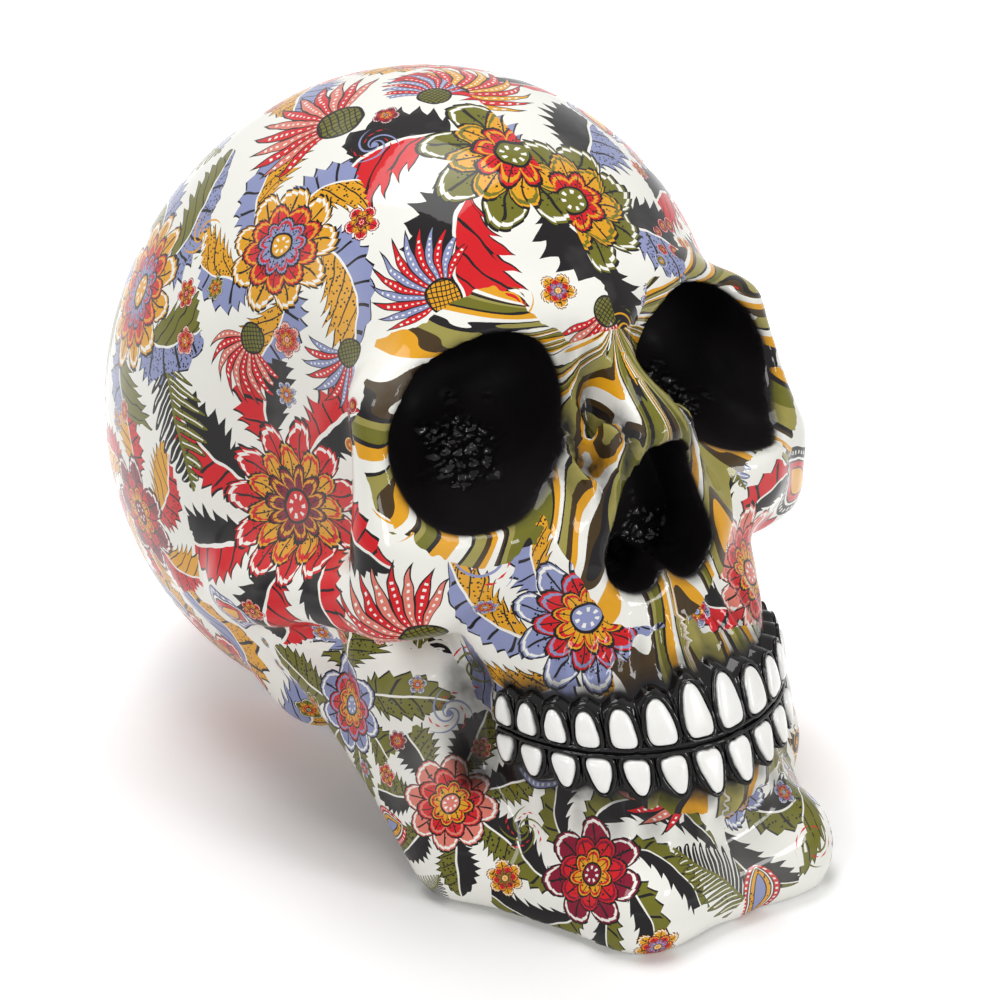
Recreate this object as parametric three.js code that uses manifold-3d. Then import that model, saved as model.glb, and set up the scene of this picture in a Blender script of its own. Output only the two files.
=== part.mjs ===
// Sugar skull ornament: a near life-size resin skull that stands on its jaw and the back of its base.
// A hollow cranium and a solid lower jaw are bonded at the bite. A black gum band is let into each of
// them, and every tooth is set into a pocket of its band. A plate closes the pour hole in the base, and
// felt pads under the plate and the jaw keep the resin off the table.
//
// Millimetres. +Z is up, the face looks along -Y, and the skull's own left is +X. The origin is on the
// table, below the middle of the skull.
import * as THREE from "three";
import { mergeVertices } from "three/addons/utils/BufferGeometryUtils.js";
import Module from "manifold-3d";

const wasm = await Module();
wasm.setup();

// Fits
const BOND_GAP = 0.3; // glue line between bonded pieces
const SHELL_WALL = 6.5; // resin wall of the hollow cranium
const PAD_PROUD = 0.6; // how far the felt holds the resin off the table

// Cranium: each mass has its centre, half sizes, pitch about X and the fillet that blends it in.
// A mass whose centre is off the middle plane stands for a mirrored pair.
const BRAINCASE = { at: [0, 22, 71], half: [63, 83, 69], pitch: -41, fillet: 0 };
const FACE_CORE = { at: [0, -24, 80], half: [40, 22, 34], pitch: 14, fillet: 10 };
const GLABELLA = { at: [0, -43, 113.5], half: [9, 6.5, 5.5], pitch: 20, fillet: 8 };
const MAXILLA = { at: [0, -52, 59], half: [32, 21, 19], pitch: 12, fillet: 10 };
const CHEEKBONE = { at: [41, -44, 65], half: [9.5, 11, 10], pitch: 10, fillet: 10 };
const SOCKET_WALL = { at: [28, -39, 96], half: [16.5, 12, 17], pitch: 9, fillet: 9 };
const MASTOID = { at: [37, 4, 26], half: [10, 13, 15], pitch: -10, fillet: 8 };
const FOOT = { at: [0, 31, 9], half: [25, 29, 13], pitch: 0, fillet: 10 };

// Cranium: bars run from one end to the other, with a radius at each end.
const NOSE_BRIDGE = { from: [0, -44, 109.5], to: [0, -64.5, 95], radii: [4.6, 5.8], fillet: 6 };
const NOSE_FLANK = { from: [6, -40, 102], to: [16, -58, 69], radii: [4, 6.5], fillet: 8 };
const NOSE_RIM = { from: [4.5, -62.5, 93], to: [13.5, -61.5, 72], radii: [5, 6], fillet: 6 };
const INNER_RIM = { from: [14, -48, 86], to: [30, -52, 75], radii: [6.5, 9.5], fillet: 8 };
const LOWER_RIM = { from: [30, -52, 75], to: [42, -46, 73], radii: [9.5, 8.2], fillet: 8 };
const BROW = { from: [16, -40, 114], to: [38, -35, 104], radii: [4.6, 5], fillet: 8 };
const CHEEK_PILLAR = { from: [43.9, -35.8, 101], to: [46.5, -43.5, 77], radii: [5.2, 6.8], fillet: 8 };
const CHEEK_ARCH = { from: [48, -42, 63], to: [56, -4, 54], radii: [7, 6], fillet: 7 };
const ARCH_ROOT = { from: [54, -10, 55], to: [52, 16, 46], radii: [6, 5], fillet: 10 };

// Cranium: soft hollows that are pressed into the masses.
const EYE_RECESS = { at: [28, -66, 92], half: [28, 18, 25], pitch: -8, fillet: 6 };
const TEMPLE = { at: [66, -22, 88], half: [15, 24, 27], pitch: -12, fillet: 16 };
const NASION_HOLLOW = { at: [11, -54, 105], half: [6, 6.5, 8], pitch: 0, fillet: 5 };
const CANINE_HOLLOW = { at: [26, -78, 65], half: [9, 10, 9], pitch: 10, fillet: 8 };
const CHEEK_HOLLOW = { at: [48, -62, 50], half: [13, 16, 9], pitch: 0, fillet: 8 };

// Openings of the face. The nose heights are measured up from its foot.
const ORBIT = { at: [27.7, -45.35, 96.7], half: [12.5, 21.7, 17.9], pitch: 26, yaw: 19.5, roll: 67.5, squareness: 2.65 };
const NOSE = { foot: 65.2, spine: 3.6, widest: 7.2, shoulder: 14.5, top: 29.2, half: 12.7, lobe: 6.6, back: -54 };

// Bite and tooth rows: each row follows half an ellipse on the bite plane, and leans back as it rises.
const BITE_HEIGHT = 39;
const ARCH = { centre: -57, across: 32, forward: 30.7, lean: 26 };
const RIDGE = { inset: 1.5, half: 19, fillet: 8 }; // bone behind both rows
const TOOTH_GAP = 1.4; // between neighbours, along the row
const TOOTH_PROUD = 1.1; // crown in front of the gum
const TOOTH_ROOT = 2.6; // crown let into the gum
const TOOTH_BEVEL = 0.9;
const BITE_MARGIN = 1; // gum between the bite plane and the crowns
const TEETH = ["central_incisor", "lateral_incisor", "canine", "first_premolar", "second_premolar",
  "first_molar", "second_molar"];
const UPPER_ROW = { widths: [6.2, 6.4, 5.8, 5.2, 4.8, 4.7, 4.4], heights: [10, 8.6, 7.5, 7, 6.8, 6.7, 6.4] };
const LOWER_ROW = { widths: [5.8, 5.8, 5.6, 5.4, 5.2, 5, 4.6], heights: [7.9, 6.9, 6.8, 6.6, 6.6, 6.4, 6] };

// Gum bands: black strips that follow the tooth rows.
const GUM_PROUD = 1.2; // in front of the row's line
const GUM_DEPTH = 5.5; // behind it
const GUM_RIM = 1.5; // gum above or below the crowns
const GUM_END = 3.2; // gum past the last tooth

// Lower jaw
const JAW_FILL = { at: [0, -56, 16], half: [32, 32, 23], pitch: 0, fillet: 0 };
const CHIN_BAR = { from: [0, -88, 6], to: [17, -86.5, 9], radii: [9.5, 10.5], fillet: 8 };
const JAW_BODY = { from: [17, -86, 5], to: [34, -54, 6], radii: [10, 10], fillet: 8 };
const RAMUS_BACK = { from: [35, -50, 8], to: [43, -7, 36], radii: [9.5, 7.5], fillet: 8 };
const RAMUS_FRONT = { from: [35, -55, 12], to: [43, -30, 50], radii: [8, 6], fillet: 20 };
const CHEEK_FILL = { at: [34, -38, 30], half: [8, 13, 19], pitch: 0, fillet: 8 };
const LIP_FOLD = { at: [0, -102, 24], half: [18, 8.5, 7], pitch: 0, fillet: 8 };
const SPIGOT = { at: [13, -58], radius: 4, length: 9 }; // jaw pegs that locate it in the cranium

// Base
const BASE_PLATE = { radius: 16, thickness: 3, ledge: 4 }; // the ledge is the rim it is glued to
const REAR_PAD = { inset: 5, thickness: 1.6 }; // inside the plate's edge
const FRONT_PAD = { setback: 3, radius: 5.5, thickness: 1.6 }; // behind the front end of the jaw body

// Mesh fineness
const CRANIUM_GRID = { meridians: 56, rings: 34, centre: [0, -24, 80], crowding: 0.2 };
const JAW_GRID = { meridians: 32, rings: 18, centre: [0, -58, 18], crowding: 0.2 };
const RAMUS_GRID = { meridians: 16, rings: 10, centre: [40, -30, 25], crowding: 0 };
const ROUND_SIDES = 24;
const REACH = 400; // larger than the part

const paint = (name, color, roughness) =>
  new THREE.MeshStandardMaterial({ name, color, roughness, metalness: 0 });
const PRINTED_RESIN = paint("printed_resin", "#ece9e0", 0.2);
const BLACK_GUM = paint("black_gum", "#0b0a0b", 0.15);
const WHITE_TOOTH = paint("white_tooth", "#f4f2ec", 0.3);
const RESIN_PLATE = paint("resin_plate", "#d8d4c8", 0.5);
const BLACK_FELT = paint("black_felt", "#1d1c1e", 1);

const radians = THREE.MathUtils.degToRad;
const clamp = THREE.MathUtils.clamp;

// Signed distances, negative inside. Mirrored pairs are measured on the +X side.
function ellipsoidDistance({ at, half, pitch }, x, y, z) {
  const c = Math.cos(radians(pitch));
  const s = Math.sin(radians(pitch));
  const dx = (at[0] === 0 ? x : Math.abs(x)) - at[0];
  const dy = y - at[1];
  const dz = z - at[2];
  const q = [dx / half[0], (c * dy + s * dz) / half[1], (c * dz - s * dy) / half[2]];
  const reach = Math.hypot(...q);
  const slope = Math.hypot(q[0] / half[0], q[1] / half[1], q[2] / half[2]);
  return slope === 0 ? -Math.min(...half) : (reach * (reach - 1)) / slope;
}

function barDistance({ from, to, radii }, x, y, z) {
  const start = new THREE.Vector3(...from);
  const run = new THREE.Vector3(...to).sub(start);
  const point = new THREE.Vector3(Math.abs(x), y, z).sub(start);
  const t = clamp(point.dot(run) / run.lengthSq(), 0, 1);
  return point.addScaledVector(run, -t).length() - THREE.MathUtils.lerp(radii[0], radii[1], t);
}

const massDistance = (mass, x, y, z) => (mass.half ? ellipsoidDistance : barDistance)(mass, x, y, z);

function blend(a, b, fillet) {
  const h = Math.max(fillet - Math.abs(a - b), 0) / Math.max(fillet, 1e-6);
  return Math.min(a, b) - (h * h * fillet) / 4;
}

// Masses are joined and hollows pressed in, in the order given.
function bodyField(steps) {
  return (x, y, z) => {
    let d = REACH;
    for (const { join, press } of steps) {
      if (join) d = blend(d, massDistance(join, x, y, z), join.fillet);
      else d = -blend(-d, massDistance(press, x, y, z), press.fillet);
    }
    return d;
  };
}

// The lean of the tooth rows: Y shrinks towards the row's centre with height.
const leanAt = (z) => 1 - (Math.tan(radians(ARCH.lean)) * (z - BITE_HEIGHT)) / ARCH.forward;

function leanBack(geometry) {
  const points = geometry.getAttribute("position");
  for (let i = 0; i < points.count; i++) {
    points.setY(i, ARCH.centre + (points.getY(i) - ARCH.centre) * leanAt(points.getZ(i)));
  }
  return geometry;
}

// The bone behind the tooth rows: a round-edged column on the rows' ellipse, centred on the bite plane.
function ridgeDistance(x, y, z) {
  const level = clamp(z, BITE_HEIGHT - RIDGE.half, BITE_HEIGHT + RIDGE.half);
  const forward = (ARCH.forward - RIDGE.inset) * leanAt(level);
  const q = Math.hypot(x / (ARCH.across - RIDGE.inset), (y - ARCH.centre) / forward);
  const reach = (q ** 4 + ((z - BITE_HEIGHT) / RIDGE.half) ** 4) ** 0.25;
  return (reach - 1) * Math.min(forward, RIDGE.half);
}

// A sphere whose points are pushed out along their rays until they meet the field. Its poles lie on the
// Y axis, and its rings crowd towards the face. The lengths of neighbouring rays are then evened out.
function wrap(field, { meridians, rings, centre, crowding }, swell = 0) {
  const sphere = new THREE.SphereGeometry(1, meridians, rings);
  sphere.deleteAttribute("normal");
  sphere.deleteAttribute("uv");
  const skin = mergeVertices(sphere.rotateX(Math.PI), 1e-5);
  const points = skin.getAttribute("position");
  const middle = new THREE.Vector3(...centre);
  const rays = [];
  for (let i = 0; i < points.count; i++) {
    const ray = new THREE.Vector3().fromBufferAttribute(points, i);
    const fromFace = Math.acos(clamp(-ray.y, -1, 1));
    const crowded = fromFace - crowding * Math.sin(fromFace);
    const round = new THREE.Vector3(ray.x, 0, ray.z).setLength(Math.sin(crowded));
    rays.push(round.setY(-Math.cos(crowded)));
  }
  const lengths = evenOut(rays.map((ray) => rayLength(field, middle, ray, swell)), skin.index.array);
  rays.forEach((ray, i) => {
    const at = middle.clone().addScaledVector(ray, lengths[i]);
    points.setXYZ(i, at.x, at.y, at.z);
  });
  return skin;
}

function rayLength(field, middle, ray, swell) {
  const at = new THREE.Vector3();
  const isOutside = (length) => {
    at.copy(middle).addScaledVector(ray, length);
    return field(at.x, at.y, at.z) > swell;
  };
  const step = 1.5;
  let outside = REACH / 2;
  while (outside > step && isOutside(outside - step)) outside -= step;
  let inside = outside - step;
  for (let halving = 0; halving < 18; halving++) {
    const half = (inside + outside) / 2;
    if (isOutside(half)) outside = half;
    else inside = half;
  }
  return inside;
}

function evenOut(lengths, triangles) {
  const sums = lengths.map(() => 0);
  const counts = lengths.map(() => 0);
  for (let i = 0; i < triangles.length; i += 3) {
    for (const [from, to] of [[0, 1], [1, 2], [2, 0]]) {
      sums[triangles[i + from]] += lengths[triangles[i + to]];
      counts[triangles[i + from]] += 1;
    }
  }
  return lengths.map((length, i) => (length + sums[i] / counts[i]) / 2);
}

// Solids for joining and cutting
function solid(geometry) {
  const bare = geometry.index ? geometry.toNonIndexed() : geometry.clone();
  for (const name of Object.keys(bare.attributes)) {
    if (name !== "position") bare.deleteAttribute(name);
  }
  const merged = mergeVertices(bare, 1e-4);
  return new wasm.Manifold(new wasm.Mesh({
    numProp: 3,
    vertProperties: new Float32Array(merged.getAttribute("position").array),
    triVerts: new Uint32Array(merged.index.array),
  }));
}

function geometryOf(made) {
  const mesh = made.getMesh();
  const geometry = new THREE.BufferGeometry();
  geometry.setAttribute("position", new THREE.BufferAttribute(mesh.vertProperties, mesh.numProp));
  geometry.setIndex(new THREE.BufferAttribute(mesh.triVerts, 1));
  return geometry;
}

// The main body of a cut solid, without the chips that a cut can leave.
const larger = (a, b) => (b.volume() > a.volume() ? b : a);
const mainBody = (made) => made.decompose().reduce(larger);

// An upright cylinder between two heights.
function post([x, y], radius, low, high) {
  const column = new THREE.CylinderGeometry(radius, radius, high - low, ROUND_SIDES);
  return column.rotateX(Math.PI / 2).translate(x, y, (low + high) / 2);
}

const mirrored = ([x, y]) => [[x, y], [-x, y]];

// Everything below the resin's flat foot.
const belowFoot = solid(new THREE.BoxGeometry(REACH, REACH, REACH).translate(0, 0, PAD_PROUD - REACH / 2));

// Tooth rows: a crown's place is found along the ellipse, from the middle plane outwards.
const rowPoint = (t) =>
  new THREE.Vector2(ARCH.across * Math.sin(t), ARCH.centre - ARCH.forward * Math.cos(t));
const rowTurn = (t) => Math.atan2(Math.sin(t) / ARCH.across, Math.cos(t) / ARCH.forward);

function rowAngle(distance) {
  const step = 0.002;
  let t = 0;
  for (let run = 0; run < distance; t += step) run += rowPoint(t + step).distanceTo(rowPoint(t));
  return t;
}

function rowPlaces({ widths }) {
  let edge = TOOTH_GAP / 2;
  return widths.map((width) => {
    const middle = edge + width / 2;
    edge += width + TOOTH_GAP;
    return rowAngle(middle);
  });
}

const rowLength = ({ widths }) => widths.reduce((sum, width) => sum + width + TOOTH_GAP, TOOTH_GAP / 2);

// A crown's outline: a straight biting edge with small corners, and a rounded neck.
function crownOutline(width, height, grow) {
  const half = width / 2 + grow;
  const corner = Math.min(width, height) / 5;
  const shoulder = height * 0.45;
  const outline = new THREE.Shape();
  outline.moveTo(-half + corner, -grow);
  outline.lineTo(half - corner, -grow);
  outline.lineTo(half, corner - grow);
  outline.lineTo(half, shoulder);
  outline.absellipse(0, shoulder, half, height + grow - shoulder, 0, Math.PI, false);
  outline.lineTo(-half, corner - grow);
  return outline;
}

function flipFaces(geometry) {
  const points = geometry.getAttribute("position");
  const a = new THREE.Vector3();
  const b = new THREE.Vector3();
  for (let i = 0; i < points.count; i += 3) {
    a.fromBufferAttribute(points, i + 1);
    b.fromBufferAttribute(points, i + 2);
    points.setXYZ(i + 1, b.x, b.y, b.z);
    points.setXYZ(i + 2, a.x, a.y, a.z);
  }
}

// A crown, or the pocket that takes it when it is grown, at its place in the row.
function crown({ widths, heights, places, upward }, index, side, grow = 0) {
  const bevel = grow > 0 ? 0 : TOOTH_BEVEL;
  const outline = crownOutline(widths[index] - 2 * bevel, heights[index] - 2 * bevel, grow);
  const slab = new THREE.ExtrudeGeometry(outline, {
    depth: TOOTH_ROOT + TOOTH_PROUD + 2 * grow - 2 * bevel,
    curveSegments: 4,
    bevelEnabled: bevel > 0,
    bevelThickness: bevel,
    bevelSize: bevel,
    bevelSegments: 1,
  });
  slab.translate(0, bevel, GUM_PROUD - TOOTH_ROOT - grow + bevel).rotateX(Math.PI / 2);
  if (!upward) slab.rotateY(Math.PI);
  const at = rowPoint(places[index]);
  const foot = BITE_HEIGHT + (upward ? BITE_MARGIN : -BITE_MARGIN);
  slab.rotateZ(rowTurn(places[index])).translate(at.x, at.y, foot);
  if (side < 0) {
    slab.scale(-1, 1, 1);
    flipFaces(slab);
  }
  return leanBack(slab);
}

// A gum band, or its seat when it is grown: its plan follows the row, and its edge rises over the tall
// middle teeth.
function gumBand(row, grow = 0) {
  const end = rowAngle(rowLength(row) + GUM_END + grow);
  const start = -Math.PI / 2 - end;
  const stop = -Math.PI / 2 + end;
  const outer = GUM_PROUD + grow;
  const inner = GUM_DEPTH + grow;
  const plan = new THREE.Shape();
  plan.absellipse(0, ARCH.centre, ARCH.across + outer, ARCH.forward + outer, start, stop, false);
  plan.absellipse(0, ARCH.centre, ARCH.across - inner, ARCH.forward - inner, stop, start, true);
  const edge = BITE_MARGIN + GUM_RIM + grow;
  const tall = Math.max(...row.heights) + edge;
  const low = row.heights.at(-1) + edge;
  const depth = tall + grow;
  const strip = new THREE.ExtrudeGeometry(plan, { depth, curveSegments: 16, bevelEnabled: false });
  const reach = ARCH.across + outer + 1;
  const front = new THREE.Shape();
  front.moveTo(-reach, -reach);
  front.lineTo(reach, -reach);
  front.lineTo(reach, low);
  front.bezierCurveTo(reach * 0.55, low, reach * 0.4, tall, 0, tall);
  front.bezierCurveTo(-reach * 0.4, tall, -reach * 0.55, low, -reach, low);
  const fence = new THREE.ExtrudeGeometry(front, { depth: REACH, curveSegments: 8, bevelEnabled: false });
  fence.rotateX(Math.PI / 2).translate(0, REACH / 2, 0);
  const band = solid(strip.translate(0, 0, -grow)).intersect(solid(fence));
  const turned = row.upward ? band : band.mirror([0, 0, 1]);
  const lift = row.upward ? BOND_GAP / 2 : -BOND_GAP / 2;
  return solid(leanBack(geometryOf(turned.translate([0, 0, BITE_HEIGHT + lift]))));
}

// Eye socket: a rounded-square bowl that droops outwards and turns up with the face.
function orbit(side, swell = 0) {
  const bowl = new THREE.SphereGeometry(1, 24, 14);
  const points = bowl.getAttribute("position");
  const n = ORBIT.squareness;
  for (let i = 0; i < points.count; i++) {
    const [x, y, z] = [points.getX(i), points.getY(i), points.getZ(i)];
    const size = (Math.abs(x) ** n + Math.abs(y) ** n + Math.abs(z) ** n) ** (-1 / n);
    points.setXYZ(i, x * size, y * size, z * size);
  }
  bowl.scale(...ORBIT.half.map((half) => half + swell)).rotateY(radians(-side * ORBIT.roll));
  bowl.rotateX(radians(ORBIT.pitch)).rotateZ(radians(side * ORBIT.yaw));
  return bowl.translate(side * ORBIT.at[0], ORBIT.at[1], ORBIT.at[2]);
}

// Nose opening: a pear with two lobes at its foot, cut straight back.
function noseOpening(swell = 0) {
  const half = NOSE.half + swell;
  const top = NOSE.top + swell;
  const spine = NOSE.spine - swell;
  const pear = new THREE.Shape();
  pear.moveTo(0, spine);
  pear.quadraticCurveTo(NOSE.lobe * 0.4, -swell, NOSE.lobe, -swell);
  pear.quadraticCurveTo(half, -swell, half, NOSE.widest);
  pear.bezierCurveTo(half, NOSE.shoulder, half * 0.5, top, 0, top);
  pear.bezierCurveTo(-half * 0.5, top, -half, NOSE.shoulder, -half, NOSE.widest);
  pear.quadraticCurveTo(-half, -swell, -NOSE.lobe, -swell);
  pear.quadraticCurveTo(-NOSE.lobe * 0.4, -swell, 0, spine);
  const shaft = new THREE.ExtrudeGeometry(pear, { depth: REACH / 4, curveSegments: 5, bevelEnabled: false });
  return shaft.rotateX(Math.PI / 2).translate(0, NOSE.back + swell, NOSE.foot);
}

const upperRow = { ...UPPER_ROW, name: "upper", upward: true, places: rowPlaces(UPPER_ROW) };
const lowerRow = { ...LOWER_ROW, name: "lower", upward: false, places: rowPlaces(LOWER_ROW) };
const toothRows = [upperRow, lowerRow];

// The room that the gum bands and their crowns need in the bone.
let mouth = gumBand(upperRow, BOND_GAP).add(gumBand(lowerRow, BOND_GAP));
for (const row of toothRows) {
  for (const side of [1, -1]) {
    row.places.forEach((t, index) => {
      mouth = mouth.add(solid(crown(row, index, side, BOND_GAP)));
    });
  }
}

// Lower jaw
const jawBone = bodyField([
  { join: JAW_FILL }, { join: CHIN_BAR }, { join: JAW_BODY }, { join: CHEEK_FILL }, { press: LIP_FOLD },
]);
const ramusBone = bodyField([{ join: RAMUS_BACK }, { join: RAMUS_FRONT }]);
const jawRidgeTop = BITE_HEIGHT - BOND_GAP / 2;
const jawField = (x, y, z) =>
  blend(jawBone(x, y, z), Math.max(ridgeDistance(x, y, z), z - jawRidgeTop), RIDGE.fillet);

function jawBlank(swell = 0) {
  const leftRamus = solid(wrap(ramusBone, RAMUS_GRID, swell));
  return solid(wrap(jawField, JAW_GRID, swell)).add(leftRamus).add(leftRamus.mirror([1, 0, 0]));
}

const frontPadPlaces = mirrored([JAW_BODY.from[0], JAW_BODY.from[1] + FRONT_PAD.setback]);

let jaw = jawBlank().subtract(mouth).subtract(belowFoot);
for (const at of mirrored(SPIGOT.at)) {
  jaw = jaw.add(solid(post(at, SPIGOT.radius, BITE_HEIGHT - SPIGOT.length, BITE_HEIGHT + SPIGOT.length)));
}
for (const at of frontPadPlaces) {
  jaw = jaw.subtract(solid(post(at, FRONT_PAD.radius + BOND_GAP, -1, FRONT_PAD.thickness + BOND_GAP)));
}

// Cranium
const craniumBone = bodyField([
  { join: BRAINCASE }, { join: FACE_CORE }, { press: EYE_RECESS }, { press: TEMPLE }, { join: MAXILLA },
  { join: CHEEKBONE }, { join: MASTOID }, { join: FOOT }, { join: GLABELLA }, { join: NOSE_BRIDGE },
  { join: NOSE_FLANK }, { join: NOSE_RIM }, { join: INNER_RIM }, { join: LOWER_RIM }, { join: BROW },
  { join: CHEEK_PILLAR }, { join: CHEEK_ARCH }, { join: ARCH_ROOT }, { join: SOCKET_WALL },
  { press: NASION_HOLLOW }, { press: CANINE_HOLLOW }, { press: CHEEK_HOLLOW },
]);
const craniumRidgeFoot = BITE_HEIGHT + BOND_GAP / 2;
const craniumField = (x, y, z) =>
  blend(craniumBone(x, y, z), Math.max(ridgeDistance(x, y, z), craniumRidgeFoot - z), RIDGE.fillet);

// The hollow keeps a full wall to the outside, to the face's openings and to the jaw's seat.
function cavity() {
  const hollow = new THREE.SphereGeometry(1, 20, 12);
  hollow.scale(...BRAINCASE.half.map((half) => half - SHELL_WALL)).rotateX(radians(BRAINCASE.pitch));
  const room = solid(hollow.translate(...BRAINCASE.at));
  const sockets = solid(orbit(1, SHELL_WALL)).add(solid(orbit(-1, SHELL_WALL)));
  return room.subtract(sockets).subtract(solid(noseOpening(SHELL_WALL))).subtract(jawBlank(SHELL_WALL));
}

const baseAt = [FOOT.at[0], FOOT.at[1]];
const plateTop = PAD_PROUD + BASE_PLATE.thickness;
const rearPadRadius = BASE_PLATE.radius - REAR_PAD.inset;

let cranium = solid(wrap(craniumField, CRANIUM_GRID)).subtract(jawBlank(BOND_GAP)).subtract(belowFoot);
cranium = cranium.subtract(mouth).subtract(solid(noseOpening()));
cranium = cranium.subtract(solid(orbit(1))).subtract(solid(orbit(-1))).subtract(cavity());
for (const at of mirrored(SPIGOT.at)) {
  const top = BITE_HEIGHT + SPIGOT.length + BOND_GAP;
  cranium = cranium.subtract(solid(post(at, SPIGOT.radius + BOND_GAP, BITE_HEIGHT - SPIGOT.length, top)));
}
cranium = cranium.subtract(solid(post(baseAt, BASE_PLATE.radius - BASE_PLATE.ledge, -1, BRAINCASE.at[2])));
cranium = cranium.subtract(solid(post(baseAt, BASE_PLATE.radius + BOND_GAP, -1, plateTop + BOND_GAP)));

// Base plate, with a recess for its felt
const basePlate = solid(post(baseAt, BASE_PLATE.radius, PAD_PROUD, plateTop))
  .subtract(solid(post(baseAt, rearPadRadius + BOND_GAP, -1, REAR_PAD.thickness + BOND_GAP)));

// Assembly
const skull = new THREE.Group();
skull.name = "sugar_skull";

function place(name, geometry, material) {
  const mesh = new THREE.Mesh(geometry, material);
  mesh.name = name;
  skull.add(mesh);
}

place("cranium", geometryOf(mainBody(cranium)), PRINTED_RESIN);
place("lower_jaw", geometryOf(mainBody(jaw)), PRINTED_RESIN);

for (const row of toothRows) {
  let gum = gumBand(row);
  for (const [sideName, side] of [["left", 1], ["right", -1]]) {
    TEETH.forEach((tooth, index) => {
      place(`${row.name}_${sideName}_${tooth}`, crown(row, index, side), WHITE_TOOTH);
      gum = gum.subtract(solid(crown(row, index, side, BOND_GAP)));
    });
  }
  place(`${row.name}_gum`, geometryOf(mainBody(gum)), BLACK_GUM);
}

place("base_plate", geometryOf(basePlate), RESIN_PLATE);
place("rear_felt_pad", post(baseAt, rearPadRadius, 0, REAR_PAD.thickness), BLACK_FELT);
frontPadPlaces.forEach((at, index) => {
  const side = index === 0 ? "left" : "right";
  place(`front_felt_pad_${side}`, post(at, FRONT_PAD.radius, 0, FRONT_PAD.thickness), BLACK_FELT);
});

export default skull;
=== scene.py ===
import math
from functools import partialmethod

import bmesh
import bpy
import numpy as np
import openvdb
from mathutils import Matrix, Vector, noise


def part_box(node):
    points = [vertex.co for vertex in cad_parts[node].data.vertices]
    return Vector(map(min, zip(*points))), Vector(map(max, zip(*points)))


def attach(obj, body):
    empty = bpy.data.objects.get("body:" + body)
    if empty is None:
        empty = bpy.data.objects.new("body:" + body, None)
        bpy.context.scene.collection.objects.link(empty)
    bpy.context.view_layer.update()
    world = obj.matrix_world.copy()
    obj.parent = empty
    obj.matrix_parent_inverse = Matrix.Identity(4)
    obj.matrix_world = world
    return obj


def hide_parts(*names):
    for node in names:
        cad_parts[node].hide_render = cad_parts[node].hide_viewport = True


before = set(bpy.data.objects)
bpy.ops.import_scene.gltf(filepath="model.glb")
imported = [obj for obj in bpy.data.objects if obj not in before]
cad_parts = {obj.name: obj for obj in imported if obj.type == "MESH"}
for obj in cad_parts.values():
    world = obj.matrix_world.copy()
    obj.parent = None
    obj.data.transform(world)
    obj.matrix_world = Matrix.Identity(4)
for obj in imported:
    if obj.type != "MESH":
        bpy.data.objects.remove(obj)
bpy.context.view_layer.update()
MM = 0.001

# Photograph's view
# A long lens looks down on the skull from its right front corner.
TARGET = Vector((-11.2, -29.4, 69.7)) * MM
CAMERA_TURN = math.radians(-34.53)
CAMERA_RISE = math.radians(26)
CAMERA_DISTANCE = 568 * MM

outward = Vector((math.sin(CAMERA_TURN) * math.cos(CAMERA_RISE),
                  -math.cos(CAMERA_TURN) * math.cos(CAMERA_RISE),
                  math.sin(CAMERA_RISE)))
camera = bpy.data.objects.new("camera", bpy.data.cameras.new("camera"))
camera.data.sensor_width = 36
camera.data.lens = 100.8
camera.location = TARGET + outward * CAMERA_DISTANCE
camera.rotation_euler = (-outward).to_track_quat("-Z", "Y").to_euler()
bpy.context.scene.collection.objects.link(camera)
bpy.context.scene.camera = camera

# Studio
# A white sweep lit by soft boxes: a broad one hangs above and a little behind the skull, so its soft shadow
# stays close under it. Away from that shadow the paper glows with painted light, white up to the edges.
scene = bpy.context.scene
scene.view_settings.view_transform = "Standard"

FLOOR_REACH = 3.0
PAPER_WHITE = (0.95, 0.95, 0.95, 1)
SHADOW_MIDDLE = (-0.09, -0.07, 0)
FLOOR_GLOW_RAMP = dict(From_Min=0.05, From_Max=0.26, To_Max=0.85)
AIR_LIGHT = 0.17
corners = [(x * FLOOR_REACH, y * FLOOR_REACH, 0) for x, y in ((-1, -1), (1, -1), (1, 1), (-1, 1))]
floor_mesh = bpy.data.meshes.new("floor")
floor_mesh.from_pydata(corners, [], [(0, 1, 2, 3)])
floor = bpy.data.objects.new("floor", floor_mesh)
scene.collection.objects.link(floor)


def soft_box(name, place, width, height, power):
    lamp = bpy.data.lights.new(name, "AREA")
    lamp.shape = "RECTANGLE"
    lamp.size = width
    lamp.size_y = height
    lamp.energy = power
    box = bpy.data.objects.new(name, lamp)
    box.location = place
    box.rotation_euler = (TARGET - box.location).to_track_quat("-Z", "Y").to_euler()
    scene.collection.objects.link(box)


soft_box("key_soft_box", Vector((-0.1, 0.22, 1.3)), 0.75, 0.75, 12.6)
soft_box("left_soft_box", Vector((-0.9, -0.5, 0.6)), 0.2, 0.35, 3.2)
soft_box("front_soft_box", Vector((0.45, -1.05, 0.5)), 0.3, 0.2, 4.5)


def plain_material(name):
    material = bpy.data.materials.new(name)
    material.use_nodes = True
    material.node_tree.nodes.clear()
    return material


def add_node(tree, kind, operation=None, **values):
    """A node of that kind, with values on its named inputs."""
    node = tree.nodes.new(kind)
    if operation:
        node.operation = operation
    for name, value in values.items():
        node.inputs[name.replace("_", " ")].default_value = value
    return node


def connect(tree, *links):
    """Joins outputs of a tree's nodes to inputs."""
    for start, end in links:
        tree.links.new(start, end)


def background_share(tree):
    """1 where the camera, a reflection or glass looks at the background, and 0 for its light on the skull."""
    path = tree.nodes.new("ShaderNodeLightPath")
    share = path.outputs["Is Camera Ray"]
    for name in ("Is Glossy Ray", "Is Transmission Ray"):
        either = add_node(tree, "ShaderNodeMath", "MAXIMUM")
        connect(tree, (share, either.inputs[0]), (path.outputs[name], either.inputs[1]))
        share = either.outputs[0]
    return share


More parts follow.
